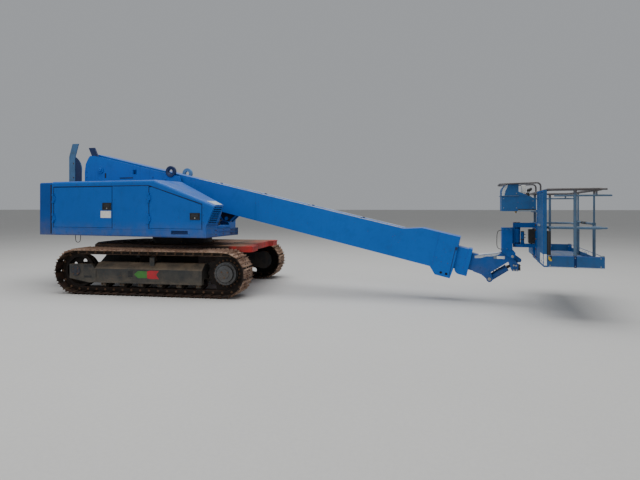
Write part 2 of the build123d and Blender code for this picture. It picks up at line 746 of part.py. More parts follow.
def grille_slot(t_low, t_high, depth_low, depth_high):
    """Slab parallel to the slanted front, from shares of its height and depths behind it."""
    rise = Vector(NEAR_NOSE_X - NEAR_FRONT_X, NEAR_NOSE_Z - LOW_BOX_Z)
    back = Vector(-rise.Y, rise.X).normalized()
    corners = []
    for share, depth in ((t_low, depth_low), (t_high, depth_low), (t_high, depth_high), (t_low, depth_high)):
        point = Vector(NEAR_FRONT_X, LOW_BOX_Z) + rise * share + back * depth
        corners.append((point.X, point.Y))
    return outline(*corners)


def right_hood():
    """Right hood with the intake cut through its slanted front."""
    shell = hood(NEAR_PROFILE, RIGHT_DOORS, NEAR_FRONT_X)
    opening = across(
        grille_slot(GRILLE_LOW, GRILLE_HIGH, -5, HOOD_WALL + 5),
        -BODY_HALF + HOOD_WALL + GRILLE_MARGIN, NEAR_NOSE_Y - HOOD_WALL - GRILLE_MARGIN,
    )
    # The nose narrows towards its front, so that the boom and its cylinder stay free beside it
    start = (NEAR_SLOPE_X, -HOOD_INNER_Y)
    end = (NEAR_NOSE_X + 1, NEAR_NOSE_Y)
    beyond = NEAR_NOSE_X + HOOD_WALL
    inner = 1 - HOOD_INNER_Y
    cut = outline(start, end, (beyond, NEAR_NOSE_Y), (beyond, inner), (NEAR_SLOPE_X, inner))
    strip = outline(start, end, (end[0], end[1] - HOOD_WALL), (start[0], start[1] - HOOD_WALL))
    shell -= upright(cut, LOW_BOX_Z, BODY_TOP_Z + 1)
    filled = across(outline(*NEAR_PROFILE), -BODY_HALF + HOOD_WALL, -HOOD_INNER_Y)
    shell += filled & upright(strip, LOW_BOX_Z - HOOD_WALL, BODY_TOP_Z)
    shell += filled & upright(cut, LOW_BOX_Z - HOOD_WALL, LOW_BOX_Z)
    slot = block(
        SLOT_REAR_X, SLOT_REAR_X + SLOT_LENGTH, -BODY_HALF - 1, -BODY_HALF + HOOD_WALL + 1,
        SLOT_LOW_Z, SLOT_LOW_Z + SLOT_HEIGHT,
    )
    return shell - opening - slot


def grille():
    """Slats set in the intake."""
    y_low = -BODY_HALF + HOOD_WALL + GRILLE_MARGIN + SEAT_GAP
    y_high = NEAR_NOSE_Y - HOOD_WALL - GRILLE_MARGIN - SEAT_GAP
    fit = SEAT_GAP / (NEAR_NOSE_Z - LOW_BOX_Z)
    full = grille_slot(GRILLE_LOW + fit, GRILLE_HIGH - fit, HOOD_WALL / 3, HOOD_WALL)
    frame = across(full, y_low, y_low + GRILLE_RIB)
    for y in ((y_low + y_high - GRILLE_RIB) / 2, y_high - GRILLE_RIB):
        frame += across(full, y, y + GRILLE_RIB)
    step = (GRILLE_HIGH - GRILLE_LOW) / GRILLE_SLATS
    for number in range(GRILLE_SLATS):
        middle = GRILLE_LOW + (number + 0.5) * step
        slat = grille_slot(middle - GRILLE_SLAT_HALF, middle + GRILLE_SLAT_HALF, 0, HOOD_WALL)
        frame += across(slat, y_low, y_high)
    return frame


def tower():
    """Two side plates with lifting eyes, the boom pin, a rear tie plate and a tab on the right plate."""
    slope = math.tan(math.radians(BOOM_DROP))
    top_front_z = TOWER_TOP_Z - (TOWER_FRONT_X - TOWER_TOP_X) * slope
    back_z = COUNTERWEIGHT_TOP_Z + TOWER_BACK_GAP
    plate = outline(
        (TOWER_REAR_X, FLOOR_Z), (TOWER_REAR_X, back_z), (TOWER_BACK_X, back_z),
        (TOWER_BACK_X, TOWER_TOP_Z - 330), (TOWER_BACK_X + 25, TOWER_TOP_Z - 170),
        (TOWER_BACK_X + 90, TOWER_TOP_Z - 55), (TOWER_BACK_X + 135, TOWER_TOP_Z), (TOWER_TOP_X, TOWER_TOP_Z),
        (TOWER_FRONT_X, top_front_z),
        (TOWER_FRONT_X + 60, top_front_z - 260), (TOWER_FOOT_X, FLOOR_Z + 200), (TOWER_FOOT_X, FLOOR_Z),
    )
    eye_z = TOWER_TOP_Z - (EYE_X - TOWER_TOP_X) * slope + EYE_RISE
    side = across(plate, -TOWER_HALF, -TOWER_HALF + TOWER_PLATE)
    inner = -TOWER_HALF + TOWER_PLATE
    side += cross_pin(EYE_X, eye_z, inner - EYE_PLATE, inner, EYE_RADIUS)
    side -= cross_pin(EYE_X, eye_z, inner - EYE_PLATE - 1, inner + 1, EYE_HOLE)
    side += cross_pin(PIVOT_X, PIVOT_Z, -TOWER_HALF - BOSS_OUT, -TOWER_HALF, PIVOT_BOSS_RADIUS)
    hole = Pos(TOWER_HOLE_X, TOWER_HOLE_Z) * Rectangle(TOWER_HOLE, TOWER_HOLE)
    side -= across(hole, -TOWER_HALF - 1, inner + 1)
    foot_z = TOWER_TOP_Z - TAB_FOOT_DROP
    tip_z = TOWER_TOP_Z + TAB_RISE
    tab = outline(
        (TAB_FOOT_X - TAB_WIDTH, foot_z), (TAB_FOOT_X, foot_z),
        (TAB_FOOT_X - TAB_LEAN, tip_z), (TAB_FOOT_X - TAB_LEAN - TAB_WIDTH, tip_z),
    )
    walls = both_sides(side) + across(tab, -TOWER_HALF, inner)
    pin_end = TOWER_HALF + BOSS_OUT + PIN_END
    walls += cross_pin(PIVOT_X, PIVOT_Z, -pin_end, pin_end, PIVOT_PIN_RADIUS)
    rear = TOWER_REAR_X
    return walls + block(rear, rear + TOWER_PLATE, -TOWER_HALF, TOWER_HALF, FLOOR_Z, TOWER_TIE_Z)


def rear_guard():
    """Cranked guard post on the counterweight, with a rounded cheek."""
    foot = COUNTERWEIGHT_TOP_Z + SEAT_GAP
    rear = GUARD_REAR_X
    front = GUARD_REAR_X + GUARD_WIDTH
    lean = GUARD_LEAN
    post = outline(
        (rear, foot), (front, foot), (front, GUARD_BEND_Z),
        (front + lean, GUARD_TOP_Z), (rear + lean, GUARD_TOP_Z), (rear, GUARD_BEND_Z),
    )
    bulge = front + GUARD_CHEEK
    round_z = GUARD_BEND_Z - 2 * GUARD_CHEEK
    middle = (front + GUARD_CHEEK * 0.7, GUARD_BEND_Z - GUARD_CHEEK * 0.6)
    top = ThreePointArc((bulge, round_z), middle, (front, GUARD_BEND_Z))
    sides = Polyline((front, GUARD_BEND_Z), (front, foot), (bulge, foot), (bulge, round_z))
    cheek = across(make_face(top + sides), -GUARD_Y - GUARD_THICK / 2, -GUARD_Y)
    return across(post, -GUARD_Y - GUARD_THICK, -GUARD_Y) + cheek


def engine_block():
    """Engine and pump, as one plain mass under the right hood."""
    return block(
        ENGINE_REAR_X, ENGINE_REAR_X + ENGINE_LENGTH, -BODY_HALF + HOOD_WALL + ENGINE_CLEARANCE,
        -HOOD_INNER_Y - HOOD_WALL - ENGINE_CLEARANCE, FLOOR_Z, FLOOR_Z + ENGINE_HEIGHT,
    )


def boom_box(s_low, s_high, low, high, half, wall):
    """Square tube along the boom."""
    outer = block(s_low, s_high, -half, half, low, high)
    return outer - block(s_low - 1, s_high + 1, -half + wall, half - wall, low + wall, high - wall)


def wear_pads(s_low, s_high, outer, inner):
    """Pads between two boom tubes, as (low, high, half) of the carrying and the carried one."""
    low, high, half = outer
    in_low, in_high, in_half = inner
    fit = SLIDE_FIT
    pads = block(s_low, s_high, -in_half * 0.7, in_half * 0.7, low, in_low - fit)
    pads += block(s_low, s_high, -in_half * 0.7, in_half * 0.7, in_high + fit, high)
    sides = block(s_low, s_high, -half, -in_half - fit, in_low + 40, in_high - 40)
    return pads + both_sides(sides)


def boom_base():
    """Base section with its pin boss, front collar, cylinder lugs and foot."""
    tube = boom_box(BASE_REAR, BASE_FRONT, BASE_LOW, BASE_HIGH, BASE_HALF, BASE_WALL)
    hump = outline(
        (HUMP_START, BASE_HIGH - 1), (HUMP_RISE_END, BASE_HIGH + HUMP_HEIGHT),
        (BASE_FRONT, BASE_HIGH + HUMP_HEIGHT), (BASE_FRONT, BASE_HIGH - 1),
    )
    tube += across(hump, -BASE_HALF, BASE_HALF)
    foot_front = BASE_FRONT - FOOT_INSET
    foot_rear = foot_front - FOOT_LENGTH
    foot = outline(
        (foot_rear - FOOT_SLOPE, BASE_LOW + 1), (foot_rear, BASE_LOW - FOOT_DROP),
        (foot_front, BASE_LOW - FOOT_DROP), (BASE_FRONT, BASE_LOW + 1),
    )
    for hole in FOOT_HOLES:
        foot -= Pos(BASE_FRONT - hole, BASE_LOW - FOOT_DROP / 2) * Circle(FOOT_HOLE_RADIUS)
    tube += both_sides(across(foot, -BASE_HALF, -BASE_HALF + FOOT_THICK))
    boss_half = TOWER_HALF - TOWER_PLATE - SWING_GAP
    tube += cross_pin(0, 0, -boss_half, boss_half, PIVOT_BOSS_RADIUS)
    tube -= cross_pin(0, 0, -TOWER_HALF, TOWER_HALF, PIVOT_PIN_RADIUS + PIN_FIT)
    carrying = (BASE_LOW + BASE_WALL, BASE_HIGH - BASE_WALL, BASE_HALF - BASE_WALL)
    tube += wear_pads(BASE_FRONT - PAD_LENGTH, BASE_FRONT, carrying, (MID_LOW, MID_HIGH, MID_HALF))
    lug = outline(
        (LIFT_EYE_ALONG - 260, BASE_LOW + 1), (LIFT_EYE_ALONG + 200, BASE_LOW + 1),
        (LIFT_EYE_ALONG + 75, LIFT_EYE_OFF - 60), (LIFT_EYE_ALONG - 75, LIFT_EYE_OFF - 60),
    )
    lug_in = LIFT_EYE_HALF + LIFT_EYE_GAP
    lug_out = lug_in + LUG_THICK
    lug = across(lug, -lug_out, -lug_in)
    lug += cross_pin(LIFT_EYE_ALONG, LIFT_EYE_OFF, -lug_out - 15, -lug_out, LIFT_PIN_RADIUS)
    tube += both_sides(lug)
    return on_boom(tube)


def boom_mid():
    """Middle section with its collar and pads."""
    tube = boom_box(MID_REAR, MID_FRONT, MID_LOW, MID_HIGH, MID_HALF, MID_WALL)
    start = MID_FRONT - MID_COLLAR_LENGTH
    lip = MID_COLLAR
    collar = block(start, MID_FRONT, -MID_HALF - lip, MID_HALF + lip, MID_LOW - lip, MID_HIGH + lip)
    collar -= block(start - 1, MID_FRONT + 1, -MID_HALF, MID_HALF, MID_LOW, MID_HIGH)
    low = MID_LOW - MID_FOOT_DROP
    heel = (MID_FRONT - MID_FOOT_LENGTH, MID_LOW + 1)
    toe = (MID_FRONT - MID_FOOT_LENGTH + MID_FOOT_DROP, low)
    bend = (heel[0] + MID_FOOT_DROP * 0.35, MID_LOW - MID_FOOT_DROP * 0.65)
    rest = Polyline(toe, (MID_FRONT, low), (MID_FRONT, MID_LOW + 1), heel)
    foot = make_face(ThreePointArc(heel, bend, toe) + rest)
    tube += collar + both_sides(across(foot, -MID_HALF, -MID_HALF + MID_FOOT_THICK))
    carrying = (MID_LOW + MID_WALL, MID_HIGH - MID_WALL, MID_HALF - MID_WALL)
    tube += wear_pads(MID_FRONT - PAD_LENGTH, MID_FRONT, carrying, (TIP_LOW, TIP_HIGH, TIP_HALF))
    return on_boom(tube)


def from_level(dx, dz):
    """Point given from the levelling pin."""
    return (LEVEL_X + dx, LEVEL_Z + dz)


def boom_tip():
    """Inner section with the nose that carries the platform head."""
    tube = on_boom(boom_box(TIP_REAR, TIP_FRONT, TIP_LOW, TIP_HIGH, TIP_HALF, TIP_WALL))
    tip = NOSE_TIP_RADIUS
    nose = outline(
        from_level(-640, -10), from_level(-170, 48), from_level(0, tip), from_level(0, -tip),
        from_level(-420, -335), from_level(-606, -269),
    )
    nose += Pos(LEVEL_X, LEVEL_Z) * Circle(tip)
    ear = outline(
        from_level(-500, -295), from_level(-330, -260),
        from_level(LEVEL_FOOT_DX + 48, LEVEL_FOOT_DZ), from_level(LEVEL_FOOT_DX - 48, LEVEL_FOOT_DZ),
    )
    nose += ear + Pos(*from_level(LEVEL_FOOT_DX, LEVEL_FOOT_DZ)) * Circle(LEVEL_FOOT_RADIUS)
    nose += outline(
        from_level(-70, -60), from_level(20, -40), from_level(VALVE_FRONT_DX, -125),
        from_level(VALVE_FRONT_DX, VALVE_LOW_DZ), from_level(VALVE_REAR_DX, VALVE_LOW_DZ),
    )
    nose -= Pos(LEVEL_X, LEVEL_Z) * Circle(LEVEL_PIN_RADIUS + PIN_FIT)
    cheek = across(nose, -TIP_HALF, -TIP_HALF + NOSE_PLATE)
    top = outline(from_level(-620, -8), from_level(-170, 48), from_level(-170, 36), from_level(-620, -20))
    low = outline(
        from_level(-606, -269), from_level(-440, -310), from_level(-440, -298), from_level(-606, -257),
    )
    inner = TIP_HALF - NOSE_PLATE / 2
    tube += both_sides(cheek) + across(top, -inner, inner) + across(low, -inner, inner)
    pin = cross_pin(*from_level(LEVEL_FOOT_DX, LEVEL_FOOT_DZ), -TIP_HALF - 10, TIP_HALF + 10, LEVEL_FOOT_PIN)
    return tube + pin


def nose_valves():
    """Valve blocks on the inside of the nose cheeks, under the levelling pin."""
    out = TIP_HALF - NOSE_PLATE - SEAT_GAP
    valve = block(
        LEVEL_X + VALVE_REAR_DX, LEVEL_X + VALVE_FRONT_DX, -out, -out + VALVE_WIDTH,
        LEVEL_Z + VALVE_LOW_DZ, LEVEL_Z + VALVE_HIGH_DZ,
    )
    return valve + [mirror(valve, about=Plane.XZ)]


def turned(start, end):
    """Plane at start whose Z axis points to end, both (x, z) in the middle plane."""
    way = (end[0] - start[0], 0, end[1] - start[1])
    return Plane(origin=(start[0], 0, start[1]), x_dir=(0, 1, 0), z_dir=way)


def cylinder_pair(
    foot, eye, neck, barrel_radius, barrel_length, rod_radius, foot_radius, eye_radius, eye_half,
    pin_radius, bore_start, rod_start,
):
    """Barrel with its foot eye on a neck, and rod with its rod eye. Starts are distances from the foot."""
    plane = turned(foot, eye)
    reach = math.hypot(eye[0] - foot[0], eye[1] - foot[1])
    barrel = extrude(plane.offset(neck) * Circle(barrel_radius), amount=barrel_length - neck)
    barrel += extrude(plane * Circle(eye_half * 0.95), amount=bore_start - CYLINDER_END)
    barrel += cross_pin(foot[0], foot[1], -eye_half, eye_half, foot_radius)
    bore = plane.offset(bore_start) * Circle(rod_radius + PIN_FIT)
    barrel -= extrude(bore, amount=barrel_length)
    barrel -= cross_pin(foot[0], foot[1], -2 * barrel_radius, 2 * barrel_radius, pin_radius + PIN_FIT)
    rod = extrude(plane.offset(rod_start) * Circle(rod_radius), amount=reach - rod_start - eye_radius * 0.6)
    rod += cross_pin(eye[0], eye[1], -eye_half, eye_half, eye_radius)
    rod -= cross_pin(eye[0], eye[1], -eye_half - 1, eye_half + 1, pin_radius + PIN_FIT)
    return barrel, rod


LIFT_BARREL, LIFT_ROD = cylinder_pair(
    (LIFT_FOOT_X, LIFT_FOOT_Z), (LIFT_EYE_X, LIFT_EYE_Z), LIFT_NECK, LIFT_BARREL_RADIUS, LIFT_BARREL_LENGTH,
    LIFT_ROD_RADIUS, LIFT_EYE_RADIUS, LIFT_EYE_RADIUS, LIFT_EYE_HALF, LIFT_PIN_RADIUS,
    LIFT_NECK + CYLINDER_END, LIFT_NECK + 2 * CYLINDER_END,
)
LEVEL_BARREL, LEVEL_ROD = cylinder_pair(
    from_level(LEVEL_FOOT_DX, LEVEL_FOOT_DZ), from_level(LEVEL_EYE_DX, LEVEL_EYE_DZ), LEVEL_NECK,
    LEVEL_BARREL_RADIUS, LEVEL_BARREL_LENGTH, LEVEL_ROD_RADIUS, LEVEL_FOOT_RADIUS, LEVEL_EYE_RADIUS,
    LEVEL_EYE_HALF, LEVEL_FOOT_PIN, LEVEL_BORE, LEVEL_BORE + 5 + LEVEL_STROKE,
)


def head():
    """Levelled head: box, ears on the nose, lever for the levelling rod and rotator barrel."""
    box = block(
        LEVEL_X + HEAD_REAR_DX, LEVEL_X + HEAD_FRONT_DX, -HEAD_HALF, HEAD_HALF,
        LEVEL_Z + HEAD_LOW_DZ, LEVEL_Z + HEAD_HIGH_DZ,
    )
    ear = outline(
        from_level(HEAD_REAR_DX, HEAD_LOW_DZ + 40), from_level(HEAD_REAR_DX, HEAD_LOW_DZ - 5),
        from_level(-45, -20), from_level(0, -48), from_level(45, -20), from_level(45, HEAD_LOW_DZ),
        from_level(HEAD_FRONT_DX, HEAD_LOW_DZ + 40),
    )
    box += both_sides(across(ear, -HEAD_HALF, -HEAD_HALF + EAR_THICK))
    box += cross_pin(LEVEL_X, LEVEL_Z, -HEAD_HALF - 15, HEAD_HALF + 15, LEVEL_PIN_RADIUS)
    inside = TIP_HALF - NOSE_PLATE - SWING_GAP
    box += cross_pin(LEVEL_X, LEVEL_Z, -inside, inside, 40)
    eye = from_level(LEVEL_EYE_DX, LEVEL_EYE_DZ)
    lever = outline(
        from_level(-20, 35), from_level(20, 38), (eye[0] + 30, eye[1] + 20),
        (eye[0] + 20, eye[1] - 30), (eye[0] - 15, eye[1] - 32), from_level(-20, -35),
    )
    lever_in = LEVEL_EYE_HALF + 6
    lever = across(lever, -lever_in - 16, -lever_in)
    lever += cross_pin(*eye, -lever_in - 26, -lever_in - 16, LEVEL_FOOT_PIN)
    box += both_sides(lever)
    low = LEVEL_Z + ROTATOR_LOW_DZ
    high = LEVEL_Z + ROTATOR_HIGH_DZ
    box += upright(Pos(ROTATOR_X, 0) * Circle(ROTATOR_RADIUS), low, high)
    box += block(LEVEL_X + HEAD_FRONT_DX - 1, ROTATOR_X, -ROTATOR_WEB / 2, ROTATOR_WEB / 2, low, high)
    return box - upright(Pos(ROTATOR_X, 0) * Circle(ROTATOR_SHAFT + PIN_FIT), low - 1, high + 1)


def rotator_arms():
    """Shaft in the rotator barrel and the two arms to the platform."""
    low = LEVEL_Z + ROTATOR_LOW_DZ
    high = LEVEL_Z + ROTATOR_HIGH_DZ
    arms = upright(Pos(ROTATOR_X, 0) * Circle(ROTATOR_SHAFT), low - 50, high + 60)
    end = PLATFORM_REAR_X - SEAT_GAP
    for z_low, z_high in ((low - 55, low - SLIDE_FIT), (high + SLIDE_FIT, high + 75)):
        arm = Pos(ROTATOR_X, 0) * Circle(60)
        arm += Pos((ROTATOR_X + end) / 2, 0) * Rectangle(end - ROTATOR_X, 120)
        arms += upright(arm, z_low, z_high)
    plate = end - ARM_PLATE
    arms += block(plate, end, -ARM_PLATE_HALF, ARM_PLATE_HALF, PLATFORM_LOW_Z, high + 75)
    gusset = outline(
        (plate + 1, PLATFORM_LOW_Z), (plate + 1, low - 50), (plate - GUSSET_DEPTH, low - 50),
        (plate - GUSSET_DEPTH, low - 110),
    )
    return arms + both_sides(across(gusset, -GUSSET_HALF, -GUSSET_HALF + LUG_THICK))


def rotator_motor():
    """Motor of the rotator, upright on the lower arm."""
    foot = LEVEL_Z + ROTATOR_LOW_DZ - SLIDE_FIT + SEAT_GAP
    place = Pos(ROTATOR_X + MOTOR_DX, 0)
    motor = upright(place * Circle(MOTOR_RADIUS), foot, foot + MOTOR_HEIGHT)
    return motor + upright(place * Rectangle(2 * MOTOR_RADIUS, MOTOR_FLANGE), foot, foot + MOTOR_FLANGE / 2)


def junction_box():
    """Black box between the arms, on their plate."""
    front = PLATFORM_REAR_X - SEAT_GAP - ARM_PLATE - SEAT_GAP
    return block(
        front - JUNCTION_DEPTH, front, -JUNCTION_HALF, JUNCTION_HALF, JUNCTION_LOW_Z, JUNCTION_HIGH_Z,
    )


def platform_floor():
    """Deck on a frame with cross members, and its toe boards."""
    rear, front, half = PLATFORM_REAR_X, PLATFORM_FRONT_X, PLATFORM_HALF
    floor = block(rear, front, -half, half, PLATFORM_LOW_Z, DECK_Z)
    bay = (2 * half - FLOOR_BEAM) / FLOOR_BAYS
    for number in range(FLOOR_BAYS):
        start = -half + FLOOR_BEAM + number * bay
        floor -= block(
            rear + FLOOR_BEAM, front - FLOOR_BEAM, start, start + bay - FLOOR_BEAM,
            PLATFORM_LOW_Z - 1, DECK_Z - DECK_SHEET,
        )
    thick = TOE_THICK
    high = DECK_Z + TOE_HEIGHT
    toe = block(rear, front, -half, half, DECK_Z, high)
    toe -= block(rear + thick, front - thick, -half + thick, half - thick, DECK_Z, high + 1)
    # The long front side only has a lip, which people step over
    toe -= block(front - thick - 1, front + 1, -half + thick, half - thick, DECK_Z + LIP_HEIGHT, high + 1)
    return floor + toe


def bent_tube(points, radius, bend):
    """Round tube along straight runs with rounded corners."""
    path = FilletPolyline(*points, radius=bend)
    return sweep(Plane(origin=path @ 0, z_dir=path % 0) * Circle(radius), path=path)


def platform_rails():
    """Posts, bent rails and the guard hoop over the control box."""
    rear, front, half = RAIL_REAR_X, RAIL_FRONT_X, RAIL_HALF
    top = DECK_Z + RAIL_HEIGHT
    middle = DECK_Z + MID_RAIL_HEIGHT
    seam = (rear + RAIL_MID_X) / 2
    ring = [(seam, -half), (front, -half), (front, half), (rear, half), (rear, -half)]
    ring.append((seam + RAIL_TUBE, -half))
    near = [(front, GATE_NEAR_Y), (front, -half), (rear, -half), (rear, 0)]
    far = [(front, GATE_FAR_Y), (front, half), (rear, half), (rear, 0)]
    rails = bent_tube([(x, y, top) for x, y in ring], RAIL_TUBE, RAIL_BEND)
    for side in (near, far):
        rails += bent_tube([(x, y, middle) for x, y in side], RAIL_TUBE, RAIL_BEND)
    for x, y in ((RAIL_MID_X, -half), (RAIL_MID_X, half), (rear, -REAR_POST_Y), (rear, REAR_POST_Y)):
        rails += bar((x, y, DECK_Z), (x, y, top), POST_TUBE)
    for y in (GATE_NEAR_Y, GATE_FAR_Y):
        rails += bar((front, y, DECK_Z), (front, y, GATE_SEAT_Z), POST_TUBE)
        rails += bar((front, y, GATE_SEAT_Z - THIN_TUBE), (front, y, top), THIN_TUBE)
    for z in (top, middle):
        rails += bar((front - RAIL_BEND, -half, z), (front + RAIL_STUB, -half, z), THIN_TUBE)
    z = DECK_Z + SECOND_RAIL_HEIGHT
    for y in (-half, half):
        rails += bar((rear + RAIL_BEND, y, z), (front + THIN_STUB, y, z), THIN_TUBE)
        rails += bar((front - RAIL_BEND, y, z), (front - RAIL_BEND, y, top), THIN_TUBE)
    hoop_z = top + HOOP_RISE
    hoop = (
        (rear, -HOOP_HALF, top), (rear, -HOOP_HALF, hoop_z), (HOOP_REAR_X, -HOOP_HALF, hoop_z - HOOP_SAG),
        (HOOP_REAR_X, HOOP_HALF, hoop_z - HOOP_SAG), (rear, HOOP_HALF, hoop_z), (rear, HOOP_HALF, top),
    )
    rails += bent_tube(hoop, THIN_TUBE, HOOP_BEND)
    return rails


def gate_bar():
    """Bar across the way in, whose collars slide up the thin upper part of two posts."""
    x = RAIL_FRONT_X
    tube = bar((x, GATE_NEAR_Y, GATE_Z), (x, GATE_FAR_Y, GATE_Z), GATE_TUBE)
    for y in (GATE_NEAR_Y, GATE_FAR_Y):
        tube += Pos(x, y, GATE_Z) * Cylinder(GATE_COLLAR, 2 * GATE_COLLAR_HALF)
    for y in (GATE_NEAR_Y, GATE_FAR_Y):
        tube -= Pos(x, y, GATE_Z) * Cylinder(THIN_TUBE + PIN_FIT, 4 * GATE_COLLAR_HALF)
    return tube


def side_panel():
    """Folded panel on the rear side of the basket, with the beam and shelf of the console."""
    rear = PLATFORM_REAR_X - PANEL_THICK
    front = PLATFORM_REAR_X - SEAT_GAP
    sheet = PANEL_SHEET
    panel = block(rear, front, -PLATFORM_HALF, PANEL_END_Y, PLATFORM_LOW_Z, PANEL_TOP_Z)
    panel -= block(
        rear + sheet, front + 1, -PLATFORM_HALF + sheet, PANEL_END_Y - sheet,
        PLATFORM_LOW_Z + PANEL_BEAM, PANEL_TOP_Z - sheet,
    )
    top = BOX_LOW_Z - SEAT_GAP
    low = top - SHELF_THICK
    beam = block(rear, front, PANEL_END_Y - 1, REAR_POST_Y, low - SHELF_THICK, top)
    return panel + beam + block(rear - BOX_DEPTH, rear + 1, -BOX_HALF, BOX_HALF, low, top)


def control_box():
    """Operator's console over the arms, with a rounded lid, open below onto its shelf."""
    front = PLATFORM_REAR_X - PANEL_THICK
    rear = front - BOX_DEPTH
    step = front - BOX_DESK_DEPTH
    lid_low = BOX_SEAM_Z + BOX_LEDGE
    corner = BOX_ROUND * (1 - math.sqrt(0.5))
    lid_round = ThreePointArc(
        (rear + BOX_ROUND, BOX_HIGH_Z), (rear + corner, BOX_HIGH_Z - corner), (rear, BOX_HIGH_Z - BOX_ROUND),
    )
    rest = Polyline(
        (rear, BOX_HIGH_Z - BOX_ROUND), (rear, lid_low), (rear - BOX_LEDGE, lid_low),
        (rear - BOX_LEDGE, BOX_SEAM_Z), (rear, BOX_SEAM_Z), (rear, BOX_LOW_Z), (front, BOX_LOW_Z),
        (front, BOX_DESK_Z), (step, BOX_DESK_Z + BOX_DESK_RISE), (step, BOX_HIGH_Z),
        (rear + BOX_ROUND, BOX_HIGH_Z),
    )
    box = across(make_face(lid_round + rest), -BOX_HALF, BOX_HALF)
    wall = BOX_WALL
    inner = outline(
        (rear + wall, BOX_LOW_Z - 1), (front - wall, BOX_LOW_Z - 1), (front - wall, BOX_DESK_Z - wall),
        (step - wall, BOX_DESK_Z + BOX_DESK_RISE - wall), (step - wall, BOX_HIGH_Z - wall),
        (rear + BOX_ROUND, BOX_HIGH_Z - wall), (rear + wall, BOX_HIGH_Z - BOX_ROUND),
    )
    return box - across(inner, -BOX_HALF + wall, BOX_HALF - wall)


# Pieces that stay with the tracks, which stand turned a little under the upper works
UNDERCARRIAGE = (
    "track_right", "sprocket_right", "idler_right", "rollers_right", "track_frame_right", "track_left",
    "sprocket_left", "idler_left", "rollers_left", "track_frame_left", "carbody", "slew_ring_lower",
)

NODES = {
    "track_right": track,
    "sprocket_right": sprocket,
    "idler_right": idler,
    "rollers_right": rollers,
    "track_frame_right": track_frame,
    "track_left": lambda: mirror(track(), about=Plane.XZ),
    "sprocket_left": lambda: mirror(sprocket(), about=Plane.XZ),
    "idler_left": lambda: mirror(idler(), about=Plane.XZ),
    "rollers_left": lambda: mirror(rollers(), about=Plane.XZ),
    "track_frame_left": lambda: mirror(track_frame(), about=Plane.XZ),
    "carbody": carbody,
    "slew_ring_lower": slew_ring_lower,
    "slew_ring_upper": slew_ring_upper,
    "turntable_floor": turntable_floor,
    "counterweight": counterweight,
    "hood_right": right_hood,
    "hood_left": lambda: mirror(hood(FAR_PROFILE, LEFT_DOORS, FAR_FRONT_X), about=Plane.XZ),
    "intake_grille": grille,
    "door_right_rear": lambda: door(RIGHT_DOORS["rear"]),
    "door_right_front": lambda: door(RIGHT_DOORS["front"]),
    "door_left_rear": lambda: mirror(door(LEFT_DOORS["rear"]), about=Plane.XZ),
    "door_left_front": lambda: mirror(door(LEFT_DOORS["front"]), about=Plane.XZ),
    "boom_tower": tower,
    "rear_guard": rear_guard,
    "engine_block": engine_block,
    "boom_base": boom_base,
    "boom_mid": boom_mid,
    "boom_tip": boom_tip,
    "nose_valves": nose_valves,
    "lift_barrel": lambda: LIFT_BARREL,
    "lift_rod": lambda: LIFT_ROD,
    "level_barrel": lambda: LEVEL_BARREL,
    "level_rod": lambda: LEVEL_ROD,
    "platform_head": head,
    "rotator_arms": rotator_arms,
    "rotator_motor": rotator_motor,
    "junction_box": junction_box,
    "platform_floor": platform_floor,
    "platform_rails": platform_rails,
    "side_panel": side_panel,
    "control_box": control_box,
    "gate_bar": gate_bar,
}

os.makedirs("parts", exist_ok=True)
for name, build in NODES.items():
    solid = build()
    if name in UNDERCARRIAGE:
        solid = Rot(0, 0, TRACKS_TURN) * solid
    export_step(Pos(SLEW_X, 0, 0) * solid, f"parts/{name}.step")
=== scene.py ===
import math

import bmesh
import bpy
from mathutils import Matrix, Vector


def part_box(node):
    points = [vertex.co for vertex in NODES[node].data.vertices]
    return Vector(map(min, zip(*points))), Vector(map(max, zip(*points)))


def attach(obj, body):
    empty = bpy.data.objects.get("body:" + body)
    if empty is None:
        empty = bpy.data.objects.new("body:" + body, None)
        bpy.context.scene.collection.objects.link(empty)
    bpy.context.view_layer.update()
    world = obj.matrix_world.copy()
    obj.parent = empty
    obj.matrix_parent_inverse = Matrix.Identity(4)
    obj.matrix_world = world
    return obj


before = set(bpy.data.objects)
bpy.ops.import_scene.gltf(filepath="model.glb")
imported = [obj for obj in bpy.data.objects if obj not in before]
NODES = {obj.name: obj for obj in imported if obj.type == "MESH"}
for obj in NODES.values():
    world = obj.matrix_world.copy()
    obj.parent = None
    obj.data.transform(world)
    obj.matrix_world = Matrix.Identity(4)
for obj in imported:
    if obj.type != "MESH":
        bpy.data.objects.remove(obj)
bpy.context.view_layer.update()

# Places below are given from the slewing axis, as in the part's source
RING_LOW, RING_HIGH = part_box("slew_ring_lower")
SLEW = (RING_LOW[0] + RING_HIGH[0]) / 2
# The tracks stand turned under the upper works, by the same angle as in the part's source
TURN = math.radians(8.5)
SIDES = (("right", -1), ("left", 1))
UP = (0, 0, 1)
DOWN = (0, 0, -1)
AHEAD = (1, 0, 0)
BACK = (-1, 0, 0)
RIGHT = (0, -1, 0)
LEFT = (0, 1, 0)
MM = 0.001


def place(u, y, z):
    """Point in the frame, from its distance ahead of the slewing axis."""
    return Vector((u + SLEW, y, z))


# Camera: the photograph's eye height, direction and field of view
camera_data = bpy.data.cameras.new("camera")
camera_data.lens = 27
camera_data.sensor_width = 36
camera_data.shift_y = -0.05
camera = bpy.data.objects.new("camera", camera_data)
camera.location = place(5.69, -8.455, 1.55)
camera.rotation_euler = (math.radians(90), 0, math.radians(18))
bpy.context.scene.collection.objects.link(camera)
bpy.context.scene.camera = camera


# Materials
def linear(r, g, b):
    """Shader colour from the red, green and blue seen in a picture, 0 to 255."""
    return tuple((c / 255) ** 2.2 for c in (r, g, b)) + (1.0,)


def shade(colour, share):
    """Colour made lighter or darker by a share."""
    return tuple(min(1.0, c * share) for c in colour[:3]) + (1.0,)


